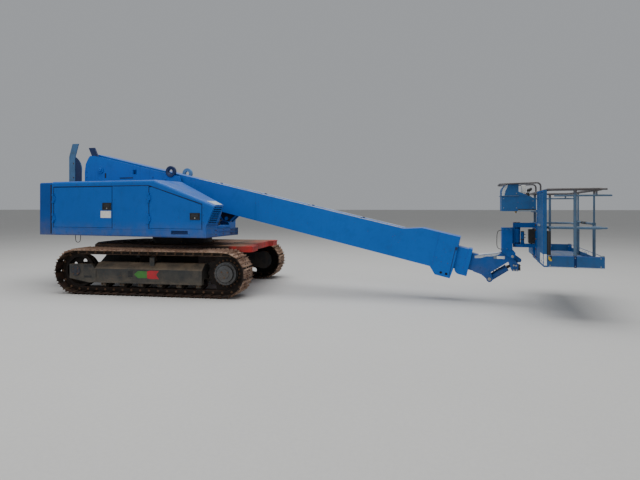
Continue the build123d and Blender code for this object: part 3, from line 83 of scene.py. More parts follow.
class Shader:
    """Short way to wire one material's nodes."""

    def __init__(self, name):
        self.material = bpy.data.materials.new(name)
        self.material.use_nodes = True
        self.tree = self.material.node_tree
        self.bsdf = self.tree.nodes["Principled BSDF"]
        self.coords = self.node("ShaderNodeTexCoord").outputs["Object"]
        self.normal = self.node("ShaderNodeNewGeometry").outputs["Normal"]

    def node(self, kind, **settings):
        made = self.tree.nodes.new(kind)
        for key, value in settings.items():
            setattr(made, key, value)
        return made

    def link(self, source, target):
        self.tree.links.new(source, target)

    def feed(self, sockets, values):
        """Links every value that comes from a node and sets the others."""
        for socket, value in zip(sockets, values):
            if isinstance(value, (int, float, tuple)):
                socket.default_value = value
            else:
                self.link(value, socket)

    def noise(self, scale, detail=4.0, rough=0.55, stretch=(1, 1, 1), offset=(0, 0, 0)):
        """Noise value, from 0 to 1, about 0.5."""
        mapping = self.node("ShaderNodeMapping")
        mapping.inputs["Scale"].default_value = stretch
        mapping.inputs["Location"].default_value = offset
        self.link(self.coords, mapping.inputs["Vector"])
        noise = self.node("ShaderNodeTexNoise")
        noise.inputs["Scale"].default_value = scale
        noise.inputs["Detail"].default_value = detail
        noise.inputs["Roughness"].default_value = rough
        self.link(mapping.outputs["Vector"], noise.inputs["Vector"])
        return noise.outputs["Fac"]

    def step(self, value, low, high, to_low=0.0, to_high=1.0):
        """Value between low and high, spread over to_low to to_high."""
        step = self.node("ShaderNodeMapRange", clamp=True)
        limits = [step.inputs[name] for name in ("Value", "From Min", "From Max", "To Min", "To Max")]
        self.feed(limits, (value, low, high, to_low, to_high))
        return step.outputs["Result"]

    def calc(self, a, b, operation="MULTIPLY"):
        """Product of two values, or the result of another operation, kept between 0 and 1."""
        result = self.node("ShaderNodeMath", operation=operation, use_clamp=True)
        self.feed(result.inputs, (a, b))
        return result.outputs["Value"]

    def mix(self, factor, a, b):
        """Colour a where factor is 0 and b where it is 1."""
        mix = self.node("ShaderNodeMix", data_type="RGBA")
        self.feed([mix.inputs[name] for name in ("Factor", "A", "B")], (factor, a, b))
        return mix.outputs["Result"]

    def axis(self, which, vector=None):
        split = self.node("ShaderNodeSeparateXYZ")
        self.link(self.coords if vector is None else vector, split.inputs["Vector"])
        return split.outputs[which]

    def along_tracks(self, vector):
        """How far a place or a direction reaches along the tracks."""
        dot = self.node("ShaderNodeVectorMath", operation="DOT_PRODUCT")
        self.feed(dot.inputs, (vector, (math.cos(TURN), math.sin(TURN), 0)))
        return dot.outputs["Value"]

    def finish(self, colour, roughness, relief, strength, depth=0.004):
        """Wires colour, roughness and relief to the surface and gives back the material."""
        self.link(colour, self.bsdf.inputs["Base Color"])
        self.link(roughness, self.bsdf.inputs["Roughness"])
        bumped = self.node("ShaderNodeBump")
        bumped.inputs["Strength"].default_value = strength
        bumped.inputs["Distance"].default_value = depth
        self.link(relief, bumped.inputs["Height"])
        self.link(bumped.outputs["Normal"], self.bsdf.inputs["Normal"])
        return self.material


def surface(
    name, colour, rough=0.45, metallic=0.0, vary=0.12, patch=1.3, grime=None, grime_scale=5.0, streak=0.0,
    streak_colour=None, dust=0.0, dust_colour=(168, 160, 146), low=None, high=None, chips=0.0,
    chip_colour=(112, 66, 40), bump=0.15, bump_scale=90.0, pits=0.0, gloss=0.5,
):
    """Painted, cast or moulded surface with variation, grime, run-down streaks, dust and chips."""
    s = Shader(name)
    colour = linear(*colour)
    worn = s.mix(s.step(s.noise(patch), 0.3, 0.7), shade(colour, 1 - vary), shade(colour, 1 + vary))
    fine = s.noise(28.0, 6.0, 0.65, offset=(3, 1, 7))
    worn = s.mix(s.step(fine, 0.35, 0.75, 0.0, 0.22), worn, shade(colour, 0.72))
    if streak:
        runs = s.noise(1.0, 3.0, 0.6, stretch=(17, 17, 0.7), offset=(2, 5, 1))
        runs = s.calc(s.step(runs, 0.52, 0.72), s.step(s.noise(1.1, 2.0), 0.42, 0.68))
        washed = linear(*streak_colour) if streak_colour else shade(colour, 0.45)
        worn = s.mix(s.calc(runs, streak), worn, washed)
    if grime:
        dirt, share = grime
        spots = s.step(s.noise(grime_scale, 6.0, 0.7, offset=(5, 8, 2)), 0.5, 0.72, 0.0, share)
        worn = s.mix(spots, worn, linear(*dirt))
    if low:
        start, end, mud, share = low
        splash = s.step(s.noise(6.0, 6.0, 0.7, offset=(1, 1, 3)), 0.3, 0.66)
        below = s.calc(1.0, s.step(s.axis("Z"), start, end), "SUBTRACT")
        worn = s.mix(s.calc(s.calc(below, splash), share), worn, linear(*mud))
    if high:
        start, end, bare, share = high
        rubbed = s.step(s.noise(5.0, 5.0, 0.6, offset=(2, 9, 3)), 0.2, 0.45, 0.6, 1.0)
        above = s.step(s.axis("Z"), start, end)
        worn = s.mix(s.calc(s.calc(above, rubbed), share), worn, linear(*bare))
    if dust:
        upward = s.step(s.axis("Z", s.normal), 0.55, 0.98)
        powder = s.step(s.noise(3.5, 6.0, 0.7, offset=(4, 4, 4)), 0.28, 0.62)
        worn = s.mix(s.calc(s.calc(upward, powder), dust), worn, linear(*dust_colour))
    if chips:
        nicks = s.noise(46.0, 3.0, 0.5, offset=(6, 6, 1))
        nicks = s.step(nicks, 0.735 - 0.06 * chips, 0.755 - 0.06 * chips)
        spread = s.step(s.noise(2.2, 3.0, offset=(7, 3, 5)), 0.48, 0.62)
        worn = s.mix(s.calc(nicks, spread), worn, linear(*chip_colour))
    roughness = s.step(s.noise(7.0, 5.0, offset=(9, 2, 4)), 0.3, 0.7, rough - 0.09, rough + 0.12)
    s.bsdf.inputs["Metallic"].default_value = metallic
    s.bsdf.inputs["Specular IOR Level"].default_value = gloss
    relief = s.noise(bump_scale, 3.0, 0.5)
    if pits:
        relief = s.calc(relief, s.step(s.noise(34.0, 5.0, 0.7), 0.3, 0.7, 1 - pits, 1.0))
    return s.finish(worn, roughness, relief, bump)


MUD = (124, 110, 92)
SAND = (150, 128, 102)
blue_hood = surface(
    "blue_hood", (8, 92, 176), rough=0.42, vary=0.07, patch=0.9, grime=((22, 66, 112), 0.22), streak=0.22,
    streak_colour=(34, 74, 118), dust=0.2, low=(1.05, 1.32, MUD, 0.4), chips=0.55, bump=0.07, gloss=0.25,
)
blue_boom = surface(
    "blue_boom", (10, 100, 188), rough=0.4, vary=0.07, patch=0.7, grime=((24, 72, 122), 0.25), streak=0.3,
    streak_colour=(30, 68, 112), dust=0.3, chips=0.6, bump=0.07, gloss=0.25,
)
blue_cast = surface(
    "blue_cast", (6, 74, 146), rough=0.52, vary=0.1, grime=((20, 50, 86), 0.35), streak=0.35, dust=0.3,
    low=(1.05, 1.4, MUD, 0.45), chips=0.6, bump=0.3, bump_scale=42.0, gloss=0.25,
)
blue_steel = surface(
    "blue_steel", (10, 84, 158), rough=0.46, vary=0.1, grime=((26, 52, 84), 0.4), streak=0.3, dust=0.45,
    low=(0.5, 0.85, MUD, 0.22), chips=0.9, bump=0.1, gloss=0.25,
)
blue_panel = surface(
    "blue_panel", (42, 90, 142), rough=0.52, grime=((40, 58, 80), 0.5), streak=0.4,
    streak_colour=(52, 74, 98), dust=0.45, low=(0.55, 0.9, MUD, 0.2), chips=0.9, bump=0.1, gloss=0.25,
)
blue_dark = surface(
    "blue_dark", (12, 44, 92), rough=0.5, vary=0.15, grime=((18, 26, 40), 0.5), dust=0.5, chips=0.8,
    gloss=0.25,
)
rail_paint = surface(
    "rail_paint", (76, 102, 128), high=(1.72, 1.77, (78, 68, 62), 0.85), rough=0.5, vary=0.14, patch=3.0,
    grime=((66, 66, 68), 0.5), dust=0.35, chips=1.1, chip_colour=(122, 104, 86), bump=0.12,
)
guard_paint = surface(
    "guard_paint", (66, 104, 142), rough=0.55, vary=0.16, patch=5.0, grime=((70, 84, 84), 0.6), dust=0.35,
    chips=0.9, bump=0.12,
)
gate_paint = surface(
    "gate_paint", (70, 98, 124), rough=0.52, vary=0.16, patch=3.0, grime=((58, 56, 56), 0.6), dust=0.35,
    chips=1.2, chip_colour=(122, 104, 86), bump=0.12,
)
chain_steel = surface(
    "chain_steel", (44, 36, 31), rough=0.62, metallic=0.55, vary=0.25, patch=6.0, grime=((38, 32, 28), 0.7),
    dust=0.5, dust_colour=SAND, bump=0.4, bump_scale=50.0,
)
frame_dark = surface(
    "frame_dark", (46, 49, 50), rough=0.66, vary=0.2, patch=2.5, grime=((96, 84, 70), 0.5), streak=0.35,
    streak_colour=(104, 92, 76), dust=0.85, dust_colour=SAND, low=(0.1, 0.5, MUD, 0.6), chips=0.9,
    bump=0.25,
)
hub_grey = surface(
    "hub_grey", (82, 85, 88), rough=0.6, metallic=0.2, vary=0.2, patch=4.0, grime=((70, 58, 48), 0.6),
    dust=0.5, dust_colour=SAND, low=(0.1, 0.6, MUD, 0.35), chips=0.6, bump=0.3, bump_scale=60.0,
)
yoke_grey = surface(
    "yoke_grey", (44, 49, 58), rough=0.6, vary=0.15, patch=4.0, grime=((78, 66, 54), 0.6), dust=0.5,
    dust_colour=SAND, chips=0.9, bump=0.25,
)
wheel_rust = surface(
    "wheel_rust", (36, 29, 25), rough=0.72, metallic=0.3, vary=0.25, patch=5.0, grime=((24, 20, 18), 0.7),
    dust=0.4, dust_colour=SAND, bump=0.45, bump_scale=40.0, pits=0.4,
)
ring_black = surface(
    "ring_black", (34, 34, 36), rough=0.55, vary=0.2, patch=3.0, grime=((86, 76, 64), 0.45), dust=0.6,
    bump=0.2,
)
engine_paint = surface(
    "engine_paint", (78, 84, 92), rough=0.5, vary=0.15, patch=3.0, grime=((40, 36, 32), 0.6), dust=0.35,
    chips=0.5, bump=0.3, bump_scale=55.0,
)
cylinder_black = surface(
    "cylinder_black", (36, 40, 46), vary=0.15, patch=2.0, grime=((74, 68, 60), 0.4), dust=0.5, chips=0.6,
    bump=0.1,
)
bright_rod = surface(
    "bright_rod", (196, 198, 202), rough=0.2, metallic=1.0, vary=0.05, patch=4.0,
    grime=((120, 112, 100), 0.25), bump=0.03, bump_scale=200.0,
)
greasy_rod = surface(
    "greasy_rod", (58, 58, 60), rough=0.35, metallic=0.7, vary=0.2, patch=6.0, grime=((26, 24, 22), 0.6),
    bump=0.1,
)
zinc = surface(
    "zinc", (168, 168, 164), rough=0.42, metallic=0.8, patch=9.0, grime=((110, 92, 72), 0.45),
    grime_scale=22.0,
)
bolt_blue = surface(
    "bolt_blue", (24, 84, 146), rough=0.5, vary=0.2, patch=9.0, grime=((110, 84, 62), 0.45),
    grime_scale=26.0, bump=0.2,
)
bolt_rust = surface(
    "bolt_rust", (104, 80, 62), rough=0.72, metallic=0.35, vary=0.3, patch=12.0, grime=((58, 46, 38), 0.6),
    grime_scale=30.0, bump=0.4,
)
black_plastic = surface(
    "black_plastic", (34, 34, 36), rough=0.5, vary=0.1, patch=6.0, grime=((92, 88, 80), 0.25), dust=0.3,
    bump=0.3, bump_scale=220.0,
)
rubber = surface(
    "rubber", (26, 26, 27), rough=0.62, vary=0.15, patch=8.0, grime=((86, 80, 70), 0.35), dust=0.3,
    bump=0.25, bump_scale=160.0,
)
white_plate = surface(
    "white_plate", (226, 226, 220), rough=0.4, vary=0.05, patch=4.0, grime=((150, 142, 126), 0.4),
    grime_scale=14.0, bump=0.05,
)
# Pale grey: dust and worn patches, and also painted highlight on the nose slope, the boom's top edges and
# the control box's rounded corner
pale_dust_and_highlight = surface(
    "pale_dust_and_highlight", (190, 195, 198), rough=0.75, patch=6.0, grime=((112, 112, 106), 0.6), grime_scale=14.0,
    bump=0.2,
)
grey_cover = surface(
    "grey_cover", (124, 138, 150), rough=0.6, vary=0.14, patch=4.0, grime=((86, 82, 76), 0.55), dust=0.6,
    chips=0.6,
)
yellow_paint = surface(
    "yellow_paint", (214, 176, 40), rough=0.5, vary=0.1, patch=6.0, grime=((96, 84, 60), 0.5),
    grime_scale=18.0, bump=0.08,
)
green_paint = surface(
    "green_paint", (60, 120, 50), rough=0.5, vary=0.15, patch=9.0, grime=((84, 84, 72), 0.5),
    grime_scale=18.0, bump=0.08,
)
red_paint = surface(
    "red_paint", (176, 32, 44), rough=0.48, patch=9.0, grime=((104, 70, 60), 0.45), grime_scale=18.0,
    bump=0.08,
)
brass = surface(
    "brass", (168, 140, 84), rough=0.38, metallic=0.9, vary=0.15, patch=14.0, grime=((84, 70, 48), 0.4),
    grime_scale=30.0, bump=0.1,
)
seam_navy = surface(
    "seam_navy", (10, 26, 54), rough=0.6, vary=0.2, patch=6.0, grime=((30, 32, 36), 0.5), bump=0.1,
)
# Boom blue darkened to navy as painted shade: near lifting ring, rear guard cheek and tab, rims at the ends
# of the boom sections
painted_shade_blue = surface(
    "painted_shade_blue", (24, 44, 84), patch=4.0, grime=((16, 24, 40), 0.4), dust=0.4, chips=0.7, bump=0.1,
)
# The same blue lightened as painted light, for the far lifting ring
painted_light_blue = surface(
    "painted_light_blue", (84, 128, 172), rough=0.5, patch=4.0, grime=((60, 76, 96), 0.5), dust=0.4, chips=0.7,
    bump=0.1,
)


def stripes(name, one, two, width):
    """Two-coloured slanting stripes, scratched."""
    s = Shader(name)
    run = s.node("ShaderNodeMath", operation="ADD")
    s.feed(run.inputs, (s.axis("X"), s.axis("Y")))
    lean = s.node("ShaderNodeMath", operation="MULTIPLY_ADD")
    s.feed(lean.inputs, (s.axis("Z"), 0.7, run.outputs["Value"]))
    wave = s.node("ShaderNodeMath", operation="PINGPONG")
    s.feed(wave.inputs, (lean.outputs["Value"], width))
    colour = s.mix(s.step(wave.outputs["Value"], width * 0.48, width * 0.52), one, two)
    scratched = s.step(s.noise(30.0, 5.0, 0.7), 0.56, 0.66, 0.0, 0.6)
    colour = s.mix(scratched, colour, linear(96, 92, 86))
    return s.finish(colour, s.step(s.noise(12.0), 0.3, 0.7, 0.4, 0.6), s.noise(80.0), 0.1, 0.003)


def deck_paint():
    """Deck: sandy on top, red along its front edge, dark elsewhere."""
    s = Shader("deck_paint")
    ahead = s.along_tracks(s.coords)
    centre = SLEW * math.cos(TURN)
    front = s.step(ahead, centre + 1.3, centre + 1.42)
    fresh = s.step(ahead, centre + 1.5, centre + 1.68)
    dark = s.mix(s.step(s.noise(4.0, 5.0), 0.35, 0.7), linear(34, 28, 26), linear(66, 50, 42))
    red = s.mix(s.step(s.noise(6.0, 6.0, 0.7), 0.42, 0.66), linear(178, 44, 42), linear(120, 60, 48))
    worn = s.mix(front, dark, red)
    upward = s.step(s.axis("Z", s.normal), 0.6, 0.95)
    grain = s.step(s.noise(5.0, 6.0, 0.7, offset=(4, 1, 2)), 0.35, 0.65)
    sand = s.mix(grain, linear(134, 96, 66), linear(104, 82, 66))
    cover = s.step(s.noise(2.4, 5.0, 0.65, offset=(1, 7, 3)), 0.25, 0.5)
    cover = s.calc(cover, s.calc(1.0, s.calc(fresh, 0.8), "SUBTRACT"))
    worn = s.mix(s.calc(upward, cover), worn, sand)
    return s.finish(worn, s.step(s.noise(9.0, 5.0), 0.3, 0.7, 0.55, 0.85), s.noise(60.0, 4.0), 0.25)


def shoe_paint():
    """Shoes: dark inside the loop, sandy on the faces that look out of it."""
    s = Shader("shoe_steel")
    centre = SLEW * math.cos(TURN)
    along = s.step(s.along_tracks(s.coords), centre - 1.8, centre + 1.8, -1.0, 1.0)
    height = s.step(s.axis("Z"), 0.0, 0.825, -1.0, 1.0)
    ends = s.calc(along, s.along_tracks(s.normal))
    flats = s.calc(height, s.axis("Z", s.normal))
    edges = s.calc(s.calc(height, 0.62), s.calc(along, 0.22), "ADD")
    outer = s.step(s.calc(s.calc(ends, flats, "ADD"), edges, "ADD"), 0.3, 0.8)
    dark = s.mix(s.step(s.noise(9.0, 6.0, 0.7), 0.4, 0.7), linear(42, 34, 30), linear(78, 54, 40))
    grain = s.step(s.noise(7.0, 6.0, 0.7, offset=(4, 1, 2)), 0.4, 0.66)
    sand = s.mix(grain, linear(172, 144, 122), linear(112, 80, 60))
    cover = s.step(s.noise(2.4, 5.0, 0.65, offset=(1, 7, 3)), 0.2, 0.45, 0.55, 1.0)
    worn = s.mix(s.calc(outer, cover), dark, sand)
    s.bsdf.inputs["Metallic"].default_value = 0.15
    return s.finish(worn, s.step(s.noise(9.0, 5.0), 0.3, 0.7, 0.66, 0.9), s.noise(38.0, 4.0), 0.45)


shoe_steel = shoe_paint()
deck = deck_paint()
yellow_black = stripes("yellow_black", linear(206, 168, 40), linear(34, 33, 32), 0.035)


def wear(node, material):
    """Gives a CAD node its material."""
    solid = NODES[node].data
    if not solid.materials:
        solid.materials.append(material)
    for index in range(len(solid.materials)):
        solid.materials[index] = material


for material, nodes in (
    (shoe_steel, "track_right track_left"), (chain_steel, "rollers_right rollers_left"),
    (wheel_rust, "sprocket_right sprocket_left idler_right idler_left"),
    (frame_dark, "track_frame_right track_frame_left"), (deck, "carbody"),
    (ring_black, "slew_ring_lower slew_ring_upper"), (blue_cast, "turntable_floor counterweight"),
    (blue_hood, "hood_right hood_left door_right_rear door_right_front door_left_rear door_left_front"),
    (black_plastic, "intake_grille junction_box"), (guard_paint, "rear_guard"),
    (engine_paint, "engine_block"), (blue_boom, "boom_tower boom_base boom_mid"),
    (blue_dark, "nose_valves"),
    (blue_steel, "boom_tip level_barrel platform_head rotator_arms rotator_motor"),
    (cylinder_black, "lift_barrel"), (bright_rod, "lift_rod"), (greasy_rod, "level_rod"),
    (blue_panel, "platform_floor side_panel control_box"), (rail_paint, "platform_rails"),
    (gate_paint, "gate_bar"),
):
    for node in nodes.split():
        wear(node, material)


# Mesh helpers: points are in metres
def around(count, radius, turn=0.0):
    """Offsets of points spread evenly round a circle."""
    steps = (turn + 2 * math.pi * i / count for i in range(count))
    return [(radius * math.cos(a), radius * math.sin(a)) for a in steps]


def slab(bm, outline, way):
    """Prism on a flat outline of points, drawn out along way."""
    base = [bm.verts.new(p) for p in outline]
    top = [bm.verts.new(Vector(p) + Vector(way)) for p in outline]
    bm.faces.new(base)
    bm.faces.new(list(reversed(top)))
    for i, point in enumerate(base):
        after = (i + 1) % len(base)
        bm.faces.new((base[after], point, top[i], top[after]))


def ring(bm, centre, side, other, radius, count):
    """Ring of vertices round a centre, in the plane of two unit vectors."""
    return [bm.verts.new(centre + side * x + other * y) for x, y in around(count, radius)]


def skin(bm, rows, capped=True):
    """Faces between rings of vertices, with a cap at both ends."""
    count = len(rows[0])
    for row, after in zip(rows, rows[1:]):
        for i in range(count):
            bm.faces.new((row[i], row[(i + 1) % count], after[(i + 1) % count], after[i]))
    if capped:
        bm.faces.new(list(reversed(rows[0])))
        bm.faces.new(rows[-1])


def lathe(bm, start, axis, rings, count, capped=True):
    """Turned shape: rings are (distance along axis, radius) pairs."""
    axis = Vector(axis).normalized()
    side = axis.orthogonal().normalized()
    other = axis.cross(side)
    start = Vector(start)
    skin(bm, [ring(bm, start + axis * d, side, other, radius, count) for d, radius in rings], capped)


def hex_bolt(bm, seat, way, radius, washer):
    """Hexagon head on a washer, seated at a point and standing along way."""
    way = Vector(way).normalized()
    start = Vector(seat) - way * 0.0004
    thick = radius * 0.3
    if washer:
        wide = radius * 1.45
        lathe(bm, start, way, [(0, wide), (radius * 0.22, wide), (thick, radius * 1.3)], 14)
    wide = radius * 1.12
    rings = [(0, wide), (radius * 0.62, wide), (radius * 0.8, radius * 0.9)]
    lathe(bm, start + way * thick, way, rings, 6)


def tube_mesh(bm, points, radius, count):
    """Round tube through points, with mitred corners."""
    rows = []
    side = None
    for i, point in enumerate(points):
        axis = (points[min(i + 1, len(points) - 1)] - points[max(i - 1, 0)]).normalized()
        side = side or axis.orthogonal().normalized()
        side = (side - axis * side.dot(axis)).normalized()
        rows.append(ring(bm, point, side, axis.cross(side), radius, count))
    skin(bm, rows)


def finish_piece(name, body, bm, material, bevel=0.0, segments=2, smooth=False):
    """Turns a bmesh into a piece that rides on a body."""
    bmesh.ops.recalc_face_normals(bm, faces=bm.faces)
    mesh = bpy.data.meshes.new(name)
    bm.to_mesh(mesh)
    bm.free()
    piece = bpy.data.objects.new(name, mesh)
    bpy.context.scene.collection.objects.link(piece)
    mesh.materials.append(material)
    if smooth:
        for face in mesh.polygons:
            face.use_smooth = True
        mesh.set_sharp_from_angle(angle=math.radians(38))
    if bevel:
        modifier = piece.modifiers.new("bevel", "BEVEL")
        modifier.width = bevel
        modifier.segments = segments
        modifier.limit_method = "ANGLE"
        modifier.angle_limit = math.radians(38)
    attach(piece, body)


def prisms(name, body, material, shapes, bevel=0.0, segments=2):
    """One piece of prisms: each is a flat outline and the way it is drawn out."""
    bm = bmesh.new()
    for outline, way in shapes:
        slab(bm, outline, way)
    finish_piece(name, body, bm, material, bevel, segments)


def corners(a0, a1, b0, b1):
    """Corners of a rectangle in order, from its limits."""
    return (a0, b0), (a1, b0), (a1, b1), (a0, b1)


def span(side, near, far):
    """Limits across, from two distances to one side of the middle."""
    return sorted((side * near, side * far))


def blocks(name, body, material, boxes, bevel=0.003):
    """One piece of several blocks, each given as u, y and z limits."""
    prisms(name, body, material, [
        ([place(u, y, z0) for u, y in corners(u0, u1, y0, y1)], (0, 0, z1 - z0))
        for u0, u1, y0, y1, z0, z1 in boxes
    ], bevel)


def bolts(name, body, material, seats, radius, washer=True):
    """One piece of hexagon bolts: each seat is a point in the frame and the way it stands."""
    bm = bmesh.new()
    for seat, way in seats:
        hex_bolt(bm, seat, way, radius, washer)
    finish_piece(name, body, bm, material)


def tubes(name, body, material, runs, radius, count=10):
    """One piece of round tubes, each given as its points."""
    bm = bmesh.new()
    for run in runs:
        tube_mesh(bm, run, radius, count)
    finish_piece(name, body, bm, material, smooth=True)


def turned(name, body, material, shapes, count=24, capped=True, smooth=True):
    """One piece of turned shapes: a start point, an axis and (along, radius) rings in millimetres."""
    bm = bmesh.new()
    for start, axis, rings in shapes:
        lathe(bm, start, axis, [(along * MM, radius * MM) for along, radius in rings], count, capped)
    finish_piece(name, body, bm, material, smooth=smooth)


def on_sides(half, points, inward=False):
    """Seats on both sides at half a width: points are (u, z) pairs."""
    turn = -1 if inward else 1
    return [(place(u, side * half, z), (0, turn * side, 0)) for side in (-1, 1) for u, z in points]


def soft_line(name, points):
    """Curve that passes smoothly by its points."""
    curve = bpy.data.curves.new(name, "CURVE")
    curve.dimensions = "3D"
    curve.resolution_u = 8
    spline = curve.splines.new("NURBS")
    spline.points.add(len(points) - 1)
    for point, where in zip(spline.points, points):
        point.co = (*where, 1.0)
    spline.order_u = 3
    spline.use_endpoint_u = True
    return curve


def hose(name, body, points, radius):
    """Hose between two fittings, as long as the curve that it follows."""
    ruler = bpy.data.objects.new("line", soft_line("line", points))
    mesh = bpy.data.meshes.new_from_object(ruler)
    ends = ([mesh.vertices[i].co for i in edge.vertices] for edge in mesh.edges)
    length = sum((a - b).length for a, b in ends)
    bpy.data.meshes.remove(mesh)
    bpy.data.objects.remove(ruler)
    curve = soft_line(name, points)
    curve.bevel_depth = radius
    curve.bevel_resolution = 3
    curve.use_fill_caps = True
    curve.materials.append(rubber)
    piece = bpy.data.objects.new(name, curve)
    bpy.context.scene.collection.objects.link(piece)
    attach(piece, body)


# Hoses, each from one fitting to another
hose("head_hose", "platform_head", [place(u, -0.13, z) for u, z in (
    (6.0896, 1.19), (6.052, 1.19), (6.018, 1.158), (6.012, 1.03), (6.014, 0.918), (6.048, 0.882),
    (6.0896, 0.882),
)], 0.005)
for name, side in SIDES:
    hose(f"valve_hose_{name}", "boom_tip", [place(u, side * 0.076, z) for u, z in (
        (6.245, 0.605), (6.17, 0.6), (6.105, 0.565), (6.05, 0.542), (6.02, 0.575), (6.02, 0.622),
    )], 0.0036)
hose("drain_hose", "turntable", [place(u, -1.1, z) for u, z in (
    (-1.665, 1.031), (-1.665, 0.93), (-1.63, 0.89), (-1.575, 0.89), (-1.54, 0.93), (-1.54, 1.031),
)], 0.0058)
hose("valve_feed", "turntable", [place(*point) for point in (
    (1.192, -0.74, 1.255), (1.258, -0.74, 1.257), (1.305, -0.785, 1.27), (1.305, -0.874, 1.285),
)], 0.0055)

# Undercarriage
TRACK_Y = 1.19
AXLE_Z = 0.4125
HALF_BASE = 1.4
PITCH_RADIUS = 0.3335
SHOE_PITCH = 0.171
SHOE_SEAT = 0.051
LINK_FACE = 0.0805
FRAME_FACE = 0.1895
DECK_TOP = 0.8595
DECK_FRONT = 1.7505
SHOE_LIP = ((0.06, 0.0386), (0.078, 0.0386), (0.113, 0.0235), (0.112, 0.019), (0.077, 0.033), (0.06, 0.034))
LINK_PLATE = (
    (-0.099, -0.012), (-0.099, 0.014), (-0.078, 0.031), (0.078, 0.027), (0.099, 0.012), (0.099, -0.014),
    (0.078, -0.031), (-0.078, -0.027),
)


def spun_way(x, y, z):
    """Direction in the frame, from its reach along and across the tracks."""
    return Vector((x * math.cos(TURN) - y * math.sin(TURN), x * math.sin(TURN) + y * math.cos(TURN), z))


def spun(x, y, z):
    """Point in the frame, from its place along and across the tracks."""
    return place(*spun_way(x, y, z))


def pitch_point(distance):
    """Point of the chain's pitch line, from the rear end of the lower run."""
    base, bend = 2 * HALF_BASE, math.pi * PITCH_RADIUS
    distance %= 2 * (base + bend)
    flip = -1 if distance >= base + bend else 1
    distance %= base + bend
    if distance < base:
        return Vector((flip * (distance - HALF_BASE), AXLE_Z - flip * PITCH_RADIUS))
    turn = (distance - base) / PITCH_RADIUS - math.pi / 2
    along, up = HALF_BASE + PITCH_RADIUS * math.cos(turn), PITCH_RADIUS * math.sin(turn)
    return Vector((flip * along, AXLE_Z + flip * up))


def on_shoe(shoe, along, off, y):
    """Point by a shoe, from its distance along the chain and out of the loop."""
    middle, way, out = shoe
    point = middle + way * along + out * off
    return spun(point.x, y, point.y)


def chain_details(name, side):
    """Bolts of every shoe, side plates of the links and the ends of their pins."""
    run = 4 * HALF_BASE + 2 * math.pi * PITCH_RADIUS
    count = round(run / SHOE_PITCH)
    y = side * TRACK_Y
    seats, links, pins, lips = [], [], [], []
    for number in range(count):
        start, end = (pitch_point(run * i / count) for i in (number, number + 1))
        way = (end - start).normalized()
        shoe = ((start + end) / 2, way, Vector((way.y, -way.x)))
        out = spun_way(way.y, 0, -way.x)
        for s, t in corners(-0.037, 0.037, -0.057, 0.057):
            seats.append((on_shoe(shoe, s, SHOE_SEAT, y + t), out))
        for t in (-0.248, 0.11):
            lips.append(([on_shoe(shoe, s, d, y + t) for s, d in SHOE_LIP], spun_way(0, 0.138, 0)))
        thick = 0.006 + 0.004 * (number % 2)
        for t in (-1, 1):
            face = y + t * LINK_FACE
            links.append(([on_shoe(shoe, s, d, face) for s, d in LINK_PLATE], spun_way(0, t * thick, 0)))
            pins.append((spun(start.x, face, start.y), spun_way(0, t, 0), [(0, 21), (13, 21), (15, 18)]))
    bolts(f"shoe_bolts_{name}", "undercarriage", bolt_rust, seats, 0.011, False)
    prisms(f"chain_links_{name}", "undercarriage", chain_steel, links, 0.0015, 1)
    turned(f"chain_pins_{name}", "undercarriage", bolt_rust, pins, 12, smooth=False)
    prisms(f"shoe_lips_{name}", "undercarriage", chain_steel, lips)


def wheel_details(name, side):
    """Bolts, rims and plugs of the drive, and the axle's end cap and slots on the idler's yoke."""
    way = spun_way(0, side, 0)

    def by_axle(end, t, dx=0.0, dz=0.0):
        return spun(end * HALF_BASE + dx, side * (TRACK_Y + t), AXLE_Z + dz)

    bolts(f"sprocket_bolts_{name}", "undercarriage", bolt_rust,
          [(by_axle(1, 0.026, *off), way) for off in around(20, 0.228)], 0.0125)
    seats = [(by_axle(1, 0.120, *off), way) for off in around(16, 0.171, 0.1)]
    seats += [(by_axle(1, 0.150, *off), way) for off in around(8, 0.118, 0.2)]
    bolts(f"drum_bolts_{name}", "undercarriage", hub_grey, seats, 0.0095)
    turned(f"drum_rims_{name}", "undercarriage", hub_grey, [(by_axle(1, t), way, rings) for t, rings in (
        (0.028, [(0, 190), (3, 199), (18, 199), (22, 190)]),
        (0.072, [(0, 189.5), (2, 196), (46, 196), (48.5, 193)]),
        (0.1495, [(0, 146), (4, 142), (4.5, 85), (12, 80), (12, 30), (9, 28)]),
    )], 40)
    turned(f"drum_plugs_{name}", "undercarriage", bolt_rust, [
        (by_axle(1, 0.153, *off), way, [(0, 17), (9, 17), (11, 14)]) for off in around(3, 0.062, 0.5)
    ], 12)
    turned(f"idler_cap_{name}", "undercarriage", yoke_grey, [
        (by_axle(-1, 0.189), way, [(0, 88), (11, 88), (16, 82), (16, 40), (21, 36)]),
    ], 32)
    bolts(f"idler_cap_bolts_{name}", "undercarriage", bolt_rust,
          [(by_axle(-1, 0.205, *off), way) for off in around(4, 0.062, math.pi / 4)], 0.0095)
    # Black sheets as the yoke's slots: painted shade inside them
    prisms(f"yoke_slots_{name}", "undercarriage", black_plastic, [
        ([by_axle(-1, FRAME_FACE, *off) for off in corners(*limits)], way * 0.0025) for limits in (
            (-0.075, -0.02, -0.008, 0.022), (0.16, 0.31, 0.075, 0.115), (0.16, 0.31, -0.115, -0.075))
    ], 0.0008, 1)


